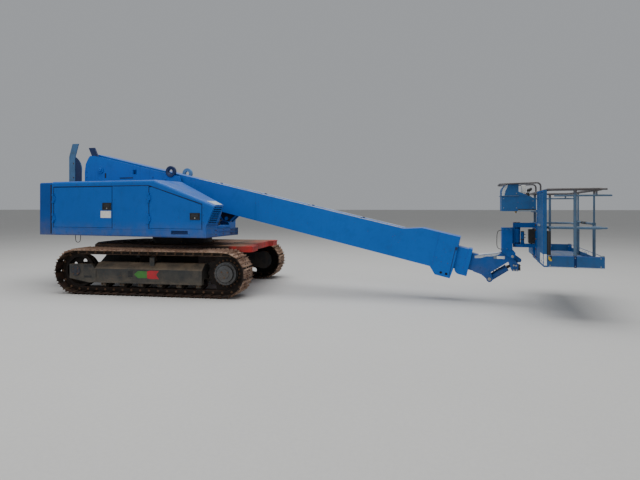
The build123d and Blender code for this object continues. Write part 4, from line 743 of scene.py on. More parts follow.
def frame_details(name, side):
    """Outer face of a track frame: adjuster hatch, direction arrow, rims and bracket bolts."""
    way = spun_way(0, side, 0)

    def raised(points, high):
        """Outline on the outer face, and how it stands out."""
        return [spun(x, side * (TRACK_Y + FRAME_FACE), z) for x, z in points], way * high

    prisms(f"frame_hatch_{name}", "undercarriage", black_plastic,
           [raised(corners(-0.379, -0.284, 0.322, 0.436), 0.002)], 0.0008, 1)
    prisms(f"frame_rims_{name}", "undercarriage", frame_dark, [raised(corners(*rim), up) for up, *rim in (
        (0.005, -0.395, -0.268, 0.436, 0.447), (0.005, -0.395, -0.268, 0.311, 0.322),
        (0.005, -0.395, -0.379, 0.322, 0.436), (0.005, -0.284, -0.268, 0.322, 0.436),
        (0.006, -1.028, 1.003, 0.2155, 0.242), (0.009, -1.04, -1.0, 0.245, 0.462),
        (0.009, 0.965, 1.003, 0.245, 0.462),
    )], 0.0015, 1)
    head = ((-0.265, 0.377), (-0.185, 0.44), (-0.016, 0.434), (-0.016, 0.318), (-0.185, 0.312))
    prisms(f"arrow_head_{name}", "undercarriage", green_paint, [raised(head, 0.0016)])
    tail = (
        (-0.016, 0.434), (0.03, 0.448), (0.21, 0.448), (0.155, 0.377), (0.21, 0.303), (0.03, 0.303),
        (-0.016, 0.318),
    )
    prisms(f"arrow_tail_{name}", "undercarriage", red_paint, [raised(tail, 0.0018)])
    bolts(f"bracket_bolts_{name}", "undercarriage", bolt_rust, [
        (spun(-0.88 + 0.36 * i + s, side * (TRACK_Y + 0.15), 0.187), way)
        for i in range(6) for s in (-0.027, 0.027)
    ], 0.0095)
    y0, y1 = side * (TRACK_Y + 0.03), side * (TRACK_Y - 0.025)
    prisms(f"frame_covers_{name}", "undercarriage", frame_dark, [
        ([spun(x, y, 0.5705) for x, y in corners(middle - 0.07, middle + 0.07, y0, y1)], (0, 0, 0.004))
        for middle in (-0.42, 0.06, 0.54)
    ], 0.001, 1)


for name, side in SIDES:
    chain_details(name, side)
    wheel_details(name, side)
    frame_details(name, side)

bolts("ring_bolts", "undercarriage", bolt_rust,
      [(spun(*off, DECK_TOP), UP) for off in around(30, 0.618)], 0.013)
bolts("race_bolts", "turntable", bolt_rust,
      [(place(*off, 1.0295), DOWN) for off in around(24, 0.612, 0.1)], 0.012)
turned("grease_points", "undercarriage", brass, [
    (spun(dx, dy, 0.9), spun_way(dx, dy, 0), [(0, 7), (8, 7), (8, 4), (18, 4), (20, 2)])
    for dx, dy in around(4, 0.5845, 0.4)
], 8)
prisms("deck_covers", "undercarriage", frame_dark, [
    ([spun(x, y, DECK_TOP) for x, y in corners(middle - 0.09, middle + 0.09, -0.06, 0.06)], (0, 0, 0.006))
    for middle in (1.2, -1.2)
], 0.0015, 1)
# Gussets between the box of the carbody and the rear of its deck
prisms("deck_gussets", "undercarriage", frame_dark, [
    ([spun(x, y, z) for x, z in (
        (-0.68, 0.45), (-1.48, 0.45), (-1.34, 0.6), (-1.22, 0.754), (-0.68, 0.754),
    )], spun_way(0, 0.012, 0)) for y in (-0.6, 0.588)
], 0.001)
# Red bars on the front edge of the deck
prisms("deck_edge", "undercarriage", red_paint, [
    ([spun(DECK_FRONT, y, z) for y, z in corners(y0, y0 + 0.33, 0.842, 0.8585)], spun_way(0.006, 0, 0))
    for y0 in (-0.9, 0.57)
], 0.0015, 1)

# Hoods: bolts, latches, plates and the covers of their seams
HOOD_Y = 1.2
PLATE_Y = HOOD_Y + 0.0025
hood_seats = []
for side, front in ((-1, 1.23), (1, 0.52)):
    rows = [(-2.09, 2.0, -0.72, 2.0, 6), (-2.09, 1.085, front, 1.085, 12), (-0.655, 1.25, -0.655, 1.93, 4)]
    if side < 0:
        rows += [(0.04, 1.25, 0.04, 1.93, 4), (1.215, 1.3, 1.215, 1.56, 3)]
    for u0, z0, u1, z1, count in rows:
        start, end = (place(u, side * HOOD_Y, z) for u, z in ((u0, z0), (u1, z1)))
        hood_seats += [(start.lerp(end, i / (count - 1)), (0, side, 0)) for i in range(count)]
bolts("hood_bolts", "turntable", bolt_blue, hood_seats, 0.0065)


LATCH_RIM = 0.013


def latch(door, side, u, z, width, height):
    """Recessed paddle latch: frame, dished tray, paddle and lock barrel, set on a hood door."""
    body = f"door_{door}"
    w, h, t = width / 2, height / 2, LATCH_RIM
    rim, tray = (span(side, HOOD_Y, HOOD_Y + thick) for thick in (0.01, 0.003))
    blocks(f"latch_{door}_frame", body, black_plastic, [
        (u - w, u + w, *rim, z + h - t, z + h), (u - w, u + w, *rim, z - h, z - h + t),
        (u - w, u - w + t, *rim, z - h + t, z + h - t), (u + w - t, u + w, *rim, z - h + t, z + h - t),
        (u - w + t, u + w - t, *tray, z - h + t, z + h - t),
    ], 0.002)
    face = side * (HOOD_Y + 0.003)
    paddle = ((0.028 - w, h - 0.022), (w - 0.028, h - 0.022), (w - 0.034, 0.05 - h), (0.034 - w, 0.05 - h))
    prisms(f"latch_{door}_paddle", body, cylinder_black,
           [([place(u + du, face, z + dz) for du, dz in paddle], (0, side * 0.006, 0))], 0.002)
    turned(f"latch_{door}_lock", body, zinc, [(
        place(u, face, z - h + 0.031), (0, side, 0),
        [(0, 12.5), (6, 12.5), (7.5, 10), (7.5, 4), (6.5, 3)],
    )], 16)


latch("right_rear", -1, -0.8275, 1.58, 0.203, 0.134)
latch("right_front", -1, 1.05, 1.403, 0.199, 0.121)
latch("left_rear", 1, -0.8275, 1.58, 0.203, 0.134)
latch("left_front", 1, 0.29, 1.403, 0.199, 0.121)

for name, side in SIDES:
    body = f"door_{name}_rear"
    blocks(f"plate_{name}_rear", body, white_plate,
           [(-0.973, -0.735, *span(side, HOOD_Y, PLATE_Y), 1.366, 1.497)], 0.001)
    if name == "right":
        seats = [(place(u, -PLATE_Y, z), RIGHT) for u in (-0.96, -0.748) for z in (1.379, 1.484)]
        bolts("plate_rivets", body, zinc, seats, 0.0035, False)

# Ribs on the inner face of every door, seen when it is open, and the dark seam round it
SEAM_FOOT = 1.17
RIB_FOOT = 1.21
RIB = 0.03
for name, side, rear, front, rear_top, front_top in (
    ("right_rear", -1, -2.089, -0.719, 1.944, 1.944), ("right_front", -1, 0.107, 1.179, 1.944, 1.604),
    ("left_rear", 1, -2.089, -0.719, 1.944, 1.944), ("left_front", 1, -0.594, 0.414, 1.944, 1.694),
):
    inner = span(side, 1.1518, 1.1698)
    u0, u1, z0, z1 = rear + 0.08, front - 0.03, RIB_FOOT + RIB, front_top - 0.08
    middle = (z0 + front_top) / 2
    blocks(f"door_ribs_{name}", f"door_{name}", blue_hood, [
        (u0, u1, *inner, RIB_FOOT, z0), (u1 - RIB, u1, *inner, z0, z1), (u0, u0 + RIB, *inner, z0, z1),
        (u0 + RIB, u1 - RIB, *inner, middle - RIB / 2, middle + RIB / 2), (u0, u1, *inner, z1, z1 + RIB),
    ], 0.003)
    u0, u1, z0, z1 = rear - 0.016, front + 0.005, rear_top + 0.006, front_top + 0.006
    seams = (
        corners(u0, u0 + 0.012, SEAM_FOOT, z0), corners(u1, u1 + 0.009, SEAM_FOOT, z1),
        ((u0, z0), (front + 0.014, z1), (front + 0.014, z1 + 0.013), (u0, z0 + 0.013)),
    )
    prisms(f"door_seam_{name}", "turntable", seam_navy, [
        ([place(u, side * HOOD_Y, z) for u, z in seam], (0, side * 0.0012, 0)) for seam in seams
    ])

rim = (-HOOD_Y - 0.004, -HOOD_Y)
blocks("slot_rim", "turntable", blue_dark, [(u0, u1, *rim, z0, z1) for u0, u1, z0, z1 in (
    (0.565, 0.905, 1.142, 1.15), (0.565, 0.905, 1.089, 1.097), (0.565, 0.58, 1.097, 1.142),
    (0.89, 0.905, 1.097, 1.142),
)], 0.0015)
for name, side, front in (("right", -1, 0.091), ("left", 1, -0.61)):
    face = span(side, HOOD_Y, HOOD_Y + 0.0015)
    blocks(f"seam_cover_{name}", "turntable", seam_navy, [(-2.176, -2.14, *face, 1.055, 2.0)], 0.0005)
    blocks(f"hood_seam_{name}", "turntable", seam_navy, [(-0.705, front, *face, 1.95, 1.963)], 0.0005)
blocks("hood_crease_right", "turntable", blue_hood,
       [(-2.1, 0.55, -HOOD_Y - 0.003, -HOOD_Y, 1.158, 1.164)], 0.001)

# Pale strip on the slope behind the nose as painted highlight where the sky lights the slope, the frame
# below it and the lines of the front beam
SLOPE = (2.06 - 1.6) / (1.435 - 0.2)
BEAM_FRONT = 1.2652
prisms("nose_highlight_strip", "turntable", pale_dust_and_highlight, [(
    [place(u, y, 2.06 - (u - 0.2) * SLOPE) for u, y in (
        (1.24, -1.13), (1.415, -1.135), (1.415, -0.9), (1.24, -0.83),
    )], (0.0007, 0, 0.002),
)], 0.0005)
blocks("front_panel_rim", "turntable", guard_paint, [(BEAM_FRONT, 1.268, *limits) for limits in (
    (-1.17, -0.9, 1.19, 1.196), (-1.17, -0.9, 1.08, 1.086), (-1.17, -1.164, 1.086, 1.19),
    (-0.906, -0.9, 1.086, 1.19),
)], 0.001)
blocks("front_beam_ribs", "turntable", blue_steel, [(BEAM_FRONT, 1.274, *limits) for limits in (
    (-0.8, -0.36, 1.185, 1.2), (-0.8, -0.36, 1.12, 1.13), (-0.33, -0.03, 1.152, 1.162),
    (-0.33, -0.03, 1.09, 1.098),
)], 0.002)
bolts("front_beam_bolts", "turntable", bolt_rust,
      [(place(1.2655, y, z), AHEAD) for y in (-0.86, -0.6, -0.3, -0.06) for z in (1.075, 1.15)], 0.008)

# Slats across the slanted intake
NOSE_LOW = Vector((1.265, 1.2295))
NOSE_RUN = Vector((1.435, 1.6)) - NOSE_LOW
NOSE_WAY = NOSE_RUN.normalized()
NOSE_OUT = Vector((NOSE_WAY.y, -NOSE_WAY.x))
SLAT = ((-0.01, 0.0005), (0.008, 0.0005), (0.008, 0.004), (-0.01, 0.011))
slats = []
for i in range(9):
    middle = NOSE_LOW + NOSE_RUN * (0.1 + 0.8 * (i + 0.5) / 9)
    edge = [middle + NOSE_WAY * a + NOSE_OUT * b for a, b in SLAT]
    slats.append(([place(point.x, -1.192, point.y) for point in edge], (0, 0.305, 0)))
prisms("intake_slats", "turntable", blue_hood, slats, 0.001)
# Navy sheet at the back of the slot: painted shade inside it
blocks("slot_back", "turntable", blue_dark, [(0.582, 0.888, -1.196, -1.19, 1.0975, 1.1415)], 0.0005)

# Filter, valve and hoses that stand on the low front box beside the narrow nose
BOX_TOP = 1.2295
turned("front_filter", "turntable", cylinder_black, [
    (place(1.12, -0.55, BOX_TOP), UP,
     [(0, 50), (12, 50), (14, 43), (130, 43), (135, 48), (160, 48), (168, 40), (168, 18), (180, 16)]),
], 28)
blocks("front_valve", "turntable", cylinder_black, [
    (1.06, 1.17, -0.76, -0.66, BOX_TOP, 1.31), (1.08, 1.15, -0.74, -0.68, 1.31, 1.35),
    (1.0, 1.05, -0.52, -0.44, BOX_TOP, 1.3), (0.92, 1.0, -0.51, -0.45, BOX_TOP, 1.27),
], 0.004)
turned("front_fittings", "turntable", zinc, [
    (place(1.17, y, z), AHEAD, [(0, 11), (12, 11), (12, 8.5), (22, 8.5)])
    for y, z in ((-0.74, 1.255), (-0.71, 1.255), (-0.68, 1.255), (-0.725, 1.29))
], 10)

# Lifting rings, pin caps, slots, pads and hinge bolts of the boom tower; the near ring is in painted shade
# and the far ring in painted light
BOOM_DROP = math.radians(12.95)
PIN_U = -1.8
PIN_Z = 2.35
TOWER_Y = 0.3
EYE_Z = 2.65 - (-0.08 + 1.96) * math.tan(BOOM_DROP) + 0.055
for name, side, paint in (("right", -1, painted_shade_blue), ("left", 1, painted_light_blue)):
    way = (0, side, 0)
    turned(f"eye_ring_{name}", "turntable", paint, [(
        place(-0.08, side * 0.2655, EYE_Z), way,
        [(0, 48.5), (0, 111.5), (46, 111.5), (49, 108), (49, 53), (46, 48.5), (0, 48.5)],
    )], 40, capped=False)
    turned(f"pin_cap_{name}", "turntable", blue_boom, [
        (place(PIN_U, side * 0.3245, PIN_Z), way, [(0, 40), (4, 40), (6, 36), (6, 12), (3, 10)]),
    ], 28)
    face = span(side, TOWER_Y, TOWER_Y + 0.0018)
    # Black sheets as slots in the tower's sides: painted shade inside them
    blocks(f"tower_slots_{name}", "turntable", black_plastic,
           [(-1.31, -0.985, *face, 2.156, 2.178), (-1.69, -1.654, *face, 2.178, 2.278)], 0.0005)
    blocks(f"tower_pads_{name}", "turntable", blue_boom,
           [(-0.35, -0.2, *span(side, TOWER_Y, TOWER_Y + 0.008), 1.75, 2.0)], 0.003)
bolts("tower_bolts", "turntable", bolt_blue, on_sides(TOWER_Y, (
    (-2.16, 2.2), (-2.16, 2.32), (-0.2, 2.12), (0.02, 2.08), (-0.5, 2.17),
)), 0.011)

# Rear guard: a navy sheet on its cheek as painted shade of its shaded front face, the tab before it in navy
# painted shade, and the bolts
prisms("guard_cheek", "turntable", painted_shade_blue, [([place(u, -0.3365, z) for u, z in (
    (-2.4285, 2.05), (-2.267, 2.05), (-2.267, 2.31), (-2.274, 2.4), (-2.297, 2.49), (-2.336, 2.562),
    (-2.387, 2.611), (-2.4285, 2.634),
)], (0, 0.0015, 0))], 0.0004)
prisms("tab_in_shade", "turntable", painted_shade_blue, [([place(u, -0.3015, z) for u, z in (
    (-2.0285, 2.6505), (-1.961, 2.6505), (-1.8705, 2.631), (-1.9635, 2.8212), (-2.1115, 2.8212),
)], (0, 0.033, 0))], 0.0006)
bolts("guard_bolts", "turntable", bolt_rust, [(place(u, -0.345, z), RIGHT) for u, z in (
    (-2.47, 2.1), (-2.47, 2.2), (-2.52, 2.1), (-2.47, 2.5),
)], 0.01)

# Black discs behind the tie-down holes in the foot of the base section, as painted shade inside them
holes = on_sides(0.1695, ((5.1303, 0.4716), (5.218, 0.4515)), True)
turned("foot_backs", "boom_base", black_plastic,
       [(seat, way, [(0, 30), (3, 30)]) for seat, way in holes], 16)

# Pale lines along the boom's top edges, steel lines whose pale colour is painted highlight, its seam, bolts
# of the wear pads, and end plates in navy painted shade
BASE_Y = 0.2
MID_Y = 0.15


def on_boom(along, y, off):
    """Point of the boom at rest, from its distance ahead of the lift pin and above its line."""
    return place(PIN_U + along * math.cos(BOOM_DROP) + off * math.sin(BOOM_DROP), y,
                 PIN_Z - along * math.sin(BOOM_DROP) + off * math.cos(BOOM_DROP))


def boom_plates(name, body, material, shapes):
    """Plates on the sides of a boom section: along limits, off limits and y limits."""
    prisms(name, body, material, [
        ([on_boom(s, y0, d) for s, d in corners(*limits)], (0, y1 - y0, 0)) for *limits, y0, y1 in shapes
    ], 0.0015)


def boom_bolts(name, body, half, side, points, radius):
    """Bolts on one side of a boom section, given as distances along it and off its line."""
    bolts(name, body, bolt_blue, [(on_boom(s, side * half, d), (0, side, 0)) for s, d in points], radius)


for name, side in SIDES:
    boom_plates(f"boom_seam_{name}", "boom_base", blue_boom,
                [(7.0, 7.008, -0.215, 0.36, *span(side, BASE_Y, BASE_Y + 0.003))])
    # Rims at the end of the base section, in navy painted shade
    boom_plates(f"boom_rim_{name}", "boom_base", painted_shade_blue, [
        (7.31, 7.32, -0.3, 0.2, *span(side, BASE_Y, BASE_Y + 0.0015)),
        (7.318, 7.345, 0.15, 0.2, *span(side, BASE_Y, BASE_Y + 0.014)),
    ])
    lug = ((2.77, -0.228), (3.17, -0.228), (3.062, -0.388), (2.938, -0.388))
    lug = [on_boom(s, side * 0.081, d) for s, d in lug]
    prisms(f"lug_sheet_{name}", "boom_base", cylinder_black, [(lug, (0, side * 0.0015, 0))], 0.0005)
    # Steel line along the top edge, coloured pale as painted highlight
    tubes(f"boom_highlight_line_{name}", "boom_base", pale_dust_and_highlight,
          [[on_boom(s, side * 0.191, 0.2935) for s in (2.3, 4.0, 6.38)]], 0.0065, 8)
    boom_bolts(f"pad_bolts_{name}", "boom_base", BASE_Y, side, (
        (7.14, -0.1), (7.14, 0.12), (7.25, -0.1), (7.25, 0.12), (3.4, 0.24), (4.4, 0.24), (5.4, 0.24),
    ), 0.0065)
    boom_bolts(f"mid_pad_bolts_{name}", "boom_mid", MID_Y, side,
               ((7.42, -0.1), (7.42, 0.05), (7.5, -0.1), (7.5, 0.05)), 0.0055)
    # Rim at the end of the mid section, in navy painted shade
    boom_plates(f"mid_rim_{name}", "boom_mid", painted_shade_blue,
                [(7.555, 7.584, -0.16, 0.16, *span(side, MID_Y, MID_Y + 0.0015))])
boom_plates("hose_clamps", "boom_base", blue_dark, [
    (s, s + 0.04, 0.29, 0.304, *span(side, 0.1, 0.14)) for s in (2.6, 3.6, 4.6, 5.6) for side in (-1, 1)
])

# Nose of the tip section: worn strip along its top, blank plate, fittings of its valves
LEVEL_U = 6.2496
LEVEL_Z = 0.7699
NOSE_Y = 0.11
HEAD_Y = 0.15


def from_level(du, y, dz):
    """Point in the frame, from its distance to the levelling pin of the head."""
    return place(LEVEL_U + du, y, LEVEL_Z + dz)


prisms("nose_worn_top", "boom_tip", pale_dust_and_highlight, [
    ([from_level(du, -0.1105, dz) for du, dz in (
        (-0.58, -0.05), (-0.48, -0.044), (-0.4, -0.016), (-0.31, -0.012), (-0.22, 0.012), (-0.175, 0.042),
        (-0.3, 0.03), (-0.36, 0.018), (-0.58, -0.007),
    )], (0, -0.001, 0)),
    ([from_level(du, y, dz) for du, y, dz in (
        (-0.6, -0.098, -0.0045), (-0.19, -0.098, 0.0465), (-0.19, 0.098, 0.0465), (-0.6, 0.098, -0.0045),
    )], (-0.0001, 0, 0.0012)),
], 0.0004, 1)
for name, side in SIDES:
    way = (0, side, 0)
    face = span(side, NOSE_Y, NOSE_Y + 0.0015)
    blocks(f"nose_plate_{name}", "boom_tip", white_plate,
           [(LEVEL_U - 0.235, LEVEL_U - 0.115, *face, 0.721, 0.765)], 0.0006)
    blocks(f"nose_plate_end_{name}", "boom_tip", grey_cover,
           [(LEVEL_U - 0.286, LEVEL_U - 0.235, *face, 0.721, 0.765)], 0.0006)
    seats = ((-0.5, -0.06), (-0.5, -0.2), (-0.36, -0.3), (-0.36, -0.24), (0.02, -0.2), (0.065, -0.2))
    bolts(f"nose_bolts_{name}", "boom_tip", bolt_blue,
          [(from_level(du, side * NOSE_Y, dz), way) for du, dz in seats], 0.008)
    turned(f"valve_fittings_{name}", "boom_tip", zinc, [
        (from_level(du, side * NOSE_Y, dz), way,
         [(0, 14), (10, 14), (10, 10), (22, 10), (22, 12.5), (34, 12.5)])
        for du, dz in ((0.02, -0.145), (0.055, -0.15), (0.02, -0.225), (0.062, -0.222))
    ], 12)
    turned(f"head_pin_cap_{name}", "platform_head", zinc, [
        (from_level(0, side * 0.165, 0), way, [(0, 21), (4, 21), (6, 17), (6, 8), (3, 6)]),
    ])
    turned(f"foot_pin_cap_{name}", "boom_tip", zinc, [
        (from_level(-0.35, side * 0.12, -0.385), way, [(0, 26.5), (6, 26.5), (8, 22)]),
    ], 20)
turned("valve_solenoids", "boom_tip", black_plastic, [
    (from_level(0.09, side * 0.076, dz), AHEAD, [(0, 12.5), (30, 12.5), (32, 9), (38, 9)])
    for side in (-1, 1) for dz in (-0.155, -0.19, -0.22)
], 16)
blocks("nose_port", "boom_tip", blue_dark, [(6.0, 6.04, -0.0895, -0.062, 0.62, 0.66)], 0.002)

# Levelled head, rotator, its arms and the boxes between them
blocks("head_ribs", "platform_head", blue_steel, [
    (LEVEL_U - 0.08 - half, LEVEL_U - 0.08 + half, *span(side, HEAD_Y, HEAD_Y + 0.003), z0, z1)
    for half, z0, z1 in ((0.075, 0.86, 0.868), (0.077, 1.214, 1.2285)) for side in (-1, 1)
], 0.001)
seats = [(LEVEL_U + du, LEVEL_Z + dz) for du in (-0.14, -0.08, -0.02) for dz in (0.12, 0.43)]
bolts("head_bolts", "platform_head", bolt_blue, on_sides(HEAD_Y, seats), 0.0085)
turned("rotator_rims", "platform_head", blue_dark, [
    (from_level(0.075, 0, dz), UP, [(0, 52.5), (2, 55.5), (18, 55.5), (20, 52.5)])
    for dz in (0.2005, 0.4445)
], 40)
bolts("rotator_bolts", "platform", bolt_rust,
      [(from_level(0.075 + dx, dy, 0.54), UP) for dx, dy in around(6, 0.042)], 0.0075)
turned("rotator_cap", "platform", zinc,
       [(from_level(0.075, 0, 0.5398), UP, [(0, 24), (6, 24), (9, 18)])], 28)
bolts("arm_plate_bolts", "platform", bolt_rust, [
    (place(6.5896, y, z), BACK) for y in (-0.225, -0.13, 0.13, 0.225) for z in (0.78, 0.9, 1.06, 1.2, 1.28)
], 0.0095)
turned("motor_parts", "platform", cylinder_black, [
    (from_level(0.16, 0, 0.3885), UP, [(0, 25.5), (4, 26.5), (12, 26.5), (16, 20)]),
    (from_level(0.16, 0, 0.26), UP, [(0, 26.2), (1, 28.5), (14, 28.5), (15, 26.2)]),
], 28)
turned("motor_fittings", "platform", zinc, [
    (from_level(0.1862, 0, dz), AHEAD, [(0, 9), (12, 9), (12, 6.5), (24, 6.5)])
    for dz in (0.3, 0.35)
], 12)
blocks("junction_lid", "platform", black_plastic, [
    (6.503, 6.585, -0.0765, -0.075, 0.99, 1.2), (6.503, 6.585, 0.075, 0.0765, 0.99, 1.2),
    (6.4975, 6.499, -0.07, 0.07, 0.99, 1.2), (6.51, 6.58, -0.068, 0.068, 1.205, 1.207),
], 0.0006)
turned("junction_glands", "platform", black_plastic, [
    (place(6.544, y, 0.985), DOWN, [(0, 11), (10, 11), (12, 8.5), (24, 7.5)])
    for y in (-0.05, -0.018, 0.018, 0.05)
], 14)
LEVEL_WAY = Vector((0.825, 0, 0.565))
LEVEL_UP = Vector((-0.565, 0, 0.825))
turned("level_fittings", "level_barrel", zinc, [
    (place(6.0, 0, 0.4537) + LEVEL_WAY * s + LEVEL_UP * 0.0545, LEVEL_UP,
     [(0, 11), (8, 11), (8, 7.5), (13, 7.5)]) for s in (0.0, 0.05)
], 12)

# Control box: desk with its levers and switches, seams and light strip of its shelf
PANEL_BACK = 6.5796
DESK_REAR = place(6.3296, 0, 1.81)
DESK_RUN = place(PANEL_BACK, 0, 1.693) - DESK_REAR
DESK_WAY = Vector((-DESK_RUN.z, 0, DESK_RUN.x)).normalized()
SHEET = 0.0022
BOX_Y = 0.29


def on_desk(share, y, up):
    """Point of the sloping desk, from its rear edge to its front edge."""
    return DESK_REAR + DESK_RUN * share + Vector((0, y, 0)) + DESK_WAY * up


def desk_panels(name, material, panels, bevel, segments=2):
    """Flat panels on the desk: limits along it, across it and above it."""
    prisms(name, "platform", material, [
        ([on_desk(share, y, up0) for share, y in corners(*limits)], DESK_WAY * (up1 - up0))
        for *limits, up0, up1 in panels
    ], bevel, segments)


desk_panels("desk_sheet", pale_dust_and_highlight, [(0.08, 0.94, -0.27, 0.27, 0.0002, SHEET)], 0.0006, 1)
desk_panels("desk_plates", black_plastic, [
    (0.32, 0.78, -0.225, -0.115, SHEET, 0.008), (0.32, 0.78, 0.115, 0.225, SHEET, 0.008),
    (0.12, 0.26, -0.2, 0.2, SHEET, 0.006),
], 0.0015)
for name, material, count, share, up, places, rings in (
    ("lever_boots", rubber, 28, 0.55, 0.008, (-0.17, 0.17),
     [(0, 36), (6, 36), (8, 31), (14, 32), (17, 26), (23, 27), (26, 20), (32, 21), (36, 13), (44, 11)]),
    ("lever_sticks", black_plastic, 24, 0.55, 0.042, (-0.17, 0.17),
     [(0, 6.5), (42, 6.5), (46, 14), (52, 19), (66, 21.5), (84, 19), (94, 13), (98, 6)]),
    ("stop_button", red_paint, 28, 0.5, SHEET, (0,),
     [(0, 13), (12, 13), (12, 20), (16, 22), (23, 21), (27, 14)]),
    ("stop_base", yellow_paint, 32, 0.5, SHEET, (0,), [(0, 32), (2, 32), (3, 30)]),
    ("desk_switches", zinc, 12, 0.19, 0.006, (-0.17, -0.13, -0.09, -0.05, 0.05, 0.09, 0.13, 0.17),
     [(0, 8), (3, 8), (4, 4.5), (6, 3.2), (19, 4.2), (21, 3)]),
    ("desk_lamps", green_paint, 12, 0.74, SHEET, (-0.06, -0.03, 0.03, 0.06), [(0, 7), (3, 7), (5, 5)]),
):
    turned(name, "platform", material, [(on_desk(share, y, up), DESK_WAY, rings) for y in places], count)
for name, material, bevel, boxes in (
    ("box_seams", black_plastic, 0.0003,
     ((0.0008, 6.084, 6.575, 1.738, 1.742), (0.0012, 6.32, PANEL_BACK, 1.521, 1.534))),
    ("shelf_strip", grey_cover, 0.001, ((0.0035, 6.32, PANEL_BACK, 1.497, 1.5195),)),
    ("box_lip", grey_cover, 0.0006, ((0.012, 6.06, 6.33, 1.7415, 1.7455),)),
):
    blocks(name, "platform", material, [
        (u0, u1, *span(side, BOX_Y, BOX_Y + thick), z0, z1)
        for thick, u0, u1, z0, z1 in boxes for side in (-1, 1)
    ], bevel)
bolts("box_bolts", "platform", zinc, on_sides(BOX_Y, (
    (6.11, 1.55), (6.11, 1.7), (6.3, 1.55), (6.54, 1.56), (6.54, 1.66), (6.12, 1.78), (6.3, 1.78),
)), 0.0048)
# Pale sheet along the box's rounded upper rear corner: painted highlight
prisms("box_corner_highlight", "platform", pale_dust_and_highlight, [([place(u, -0.2912, z) for u, z in (
    (6.083, 1.745), (6.083, 1.8), (6.1, 1.86), (6.13, 1.9), (6.175, 1.925), (6.16, 1.87), (6.135, 1.82),
    (6.12, 1.745),
)], (0, 0.0012, 0))], 0.0004)
blocks("instrument_box", "platform", white_plate, [(6.385, 6.45, -0.13, -0.03, 1.79, 1.915)], 0.006)
turned("box_connector", "platform", brass, [
    (place(6.29, -0.27, 1.5), DOWN, [(0, 17), (8, 17), (8, 13), (20, 13), (22, 9), (32, 8.5)])
], 18)

# Side panel: blank plate, striped patch, short bar, upright and edge strip
BOARD_Y = 1.2
POSTS = (6.6444, 6.972, 7.2998)
POST_Y = 1.1752
FOOT_Y = 1.15
for name, material, box, bevel in (
    ("panel_plate", white_plate, (6.5805, 6.618, -BOARD_Y - 0.0015, -BOARD_Y, 0.757, 0.912), 0.0005),
    ("panel_sheet", white_plate, (6.5776, PANEL_BACK, -1.198, -0.82, 0.765, 0.905), 0.0006),
    ("panel_stripes", yellow_black, (6.638, 6.682, -BOARD_Y - 0.0015, -BOARD_Y, 0.82, 0.89), 0.0005),
):
    blocks(name, "platform", material, [box], bevel)
turned("post_sleeve", "platform", black_plastic, [
    (place(POSTS[0], -POST_Y, 0.9), UP, [(0, 22), (2, 27.5), (330, 27.5), (335, 22)]),
])
for name, material, box, bevel in (
    ("toe_seam", blue_dark, (6.956, 6.988, -BOARD_Y - 0.0035, -BOARD_Y, 0.738, 0.893), 0.0008),
    ("toe_edge", pale_dust_and_highlight, (6.64, 7.32, -BOARD_Y - 0.0014, -BOARD_Y, 0.7355, 0.744), 0.0004),
    ("panel_bar", grey_cover, (6.572, PANEL_BACK, -0.84, -0.55, 1.285, 1.315), 0.0015),
):
    blocks(name, "platform", material, [box], bevel)
blocks("panel_edges", "platform", blue_steel, [(6.5746, PANEL_BACK, *limits) for limits in (
    (-BOARD_Y, -1.18, 0.74, 1.795), (-0.44, -0.42, 0.92, 1.46), (-1.18, -0.44, 1.775, 1.795),
)], 0.001)
seats = [(y, z) for y in (-1.16, -0.48) for z in (0.8, 1.15, 1.4, 1.72)] + [(-0.98, 0.8), (-0.66, 0.8)]
bolts("panel_bolts", "platform", bolt_blue, [(place(PANEL_BACK, y, z), BACK) for y, z in seats], 0.0075)

# Platform floor: tread plate pattern, toe panels' ribs, feet and plate
TREAD_PITCH = 0.05
TREAD_TOP = 0.7751
BAR_REACH, BAR_HALF, BAR_HEIGHT = 0.012, 0.00325, 0.0016
TOE_FRONT = 7.3246
bars = []
for i in range(13):
    for k in range(45):
        turn = math.radians(45 if (i + k) % 2 else -45)
        middle = place(6.672 + i * TREAD_PITCH, -1.1 + k * TREAD_PITCH, TREAD_TOP)
        along = Vector((math.cos(turn), math.sin(turn), 0)) * BAR_REACH
        across = Vector((-math.sin(turn), math.cos(turn), 0)) * BAR_HALF
        bars.append(([middle + along * a + across * b for a, b in (
            (-1, 0), (-0.5, -1), (0.5, -1), (1, 0), (0.5, 1), (-0.5, 1))], (0, 0, BAR_HEIGHT)))
prisms("floor_tread", "platform", zinc, bars)
blocks("toe_ribs", "platform", blue_hood, [
    (*limits, z, z + 0.008) for limits in (
        (6.63, 7.315, -BOARD_Y - 0.0012, -BOARD_Y), (6.63, 7.315, BOARD_Y, BOARD_Y + 0.0012),
        (TOE_FRONT, TOE_FRONT + 0.0012, -1.19, 1.19),
    ) for z in (0.886, 0.74)
], 0.0004)
toe_seats = on_sides(BOARD_Y, [(u, z) for u in (6.66, 6.97, 7.28) for z in (0.76, 0.87)])
toe_seats += [(place(TOE_FRONT, -1.14 + 0.228 * i, 0.87), AHEAD) for i in range(11)]
bolts("toe_bolts", "platform", zinc, toe_seats, 0.0055)
blocks("toe_plate", "platform", white_plate,
       [(TOE_FRONT, TOE_FRONT + 0.001, -0.12, 0.12, 0.79, 0.86)], 0.0005)

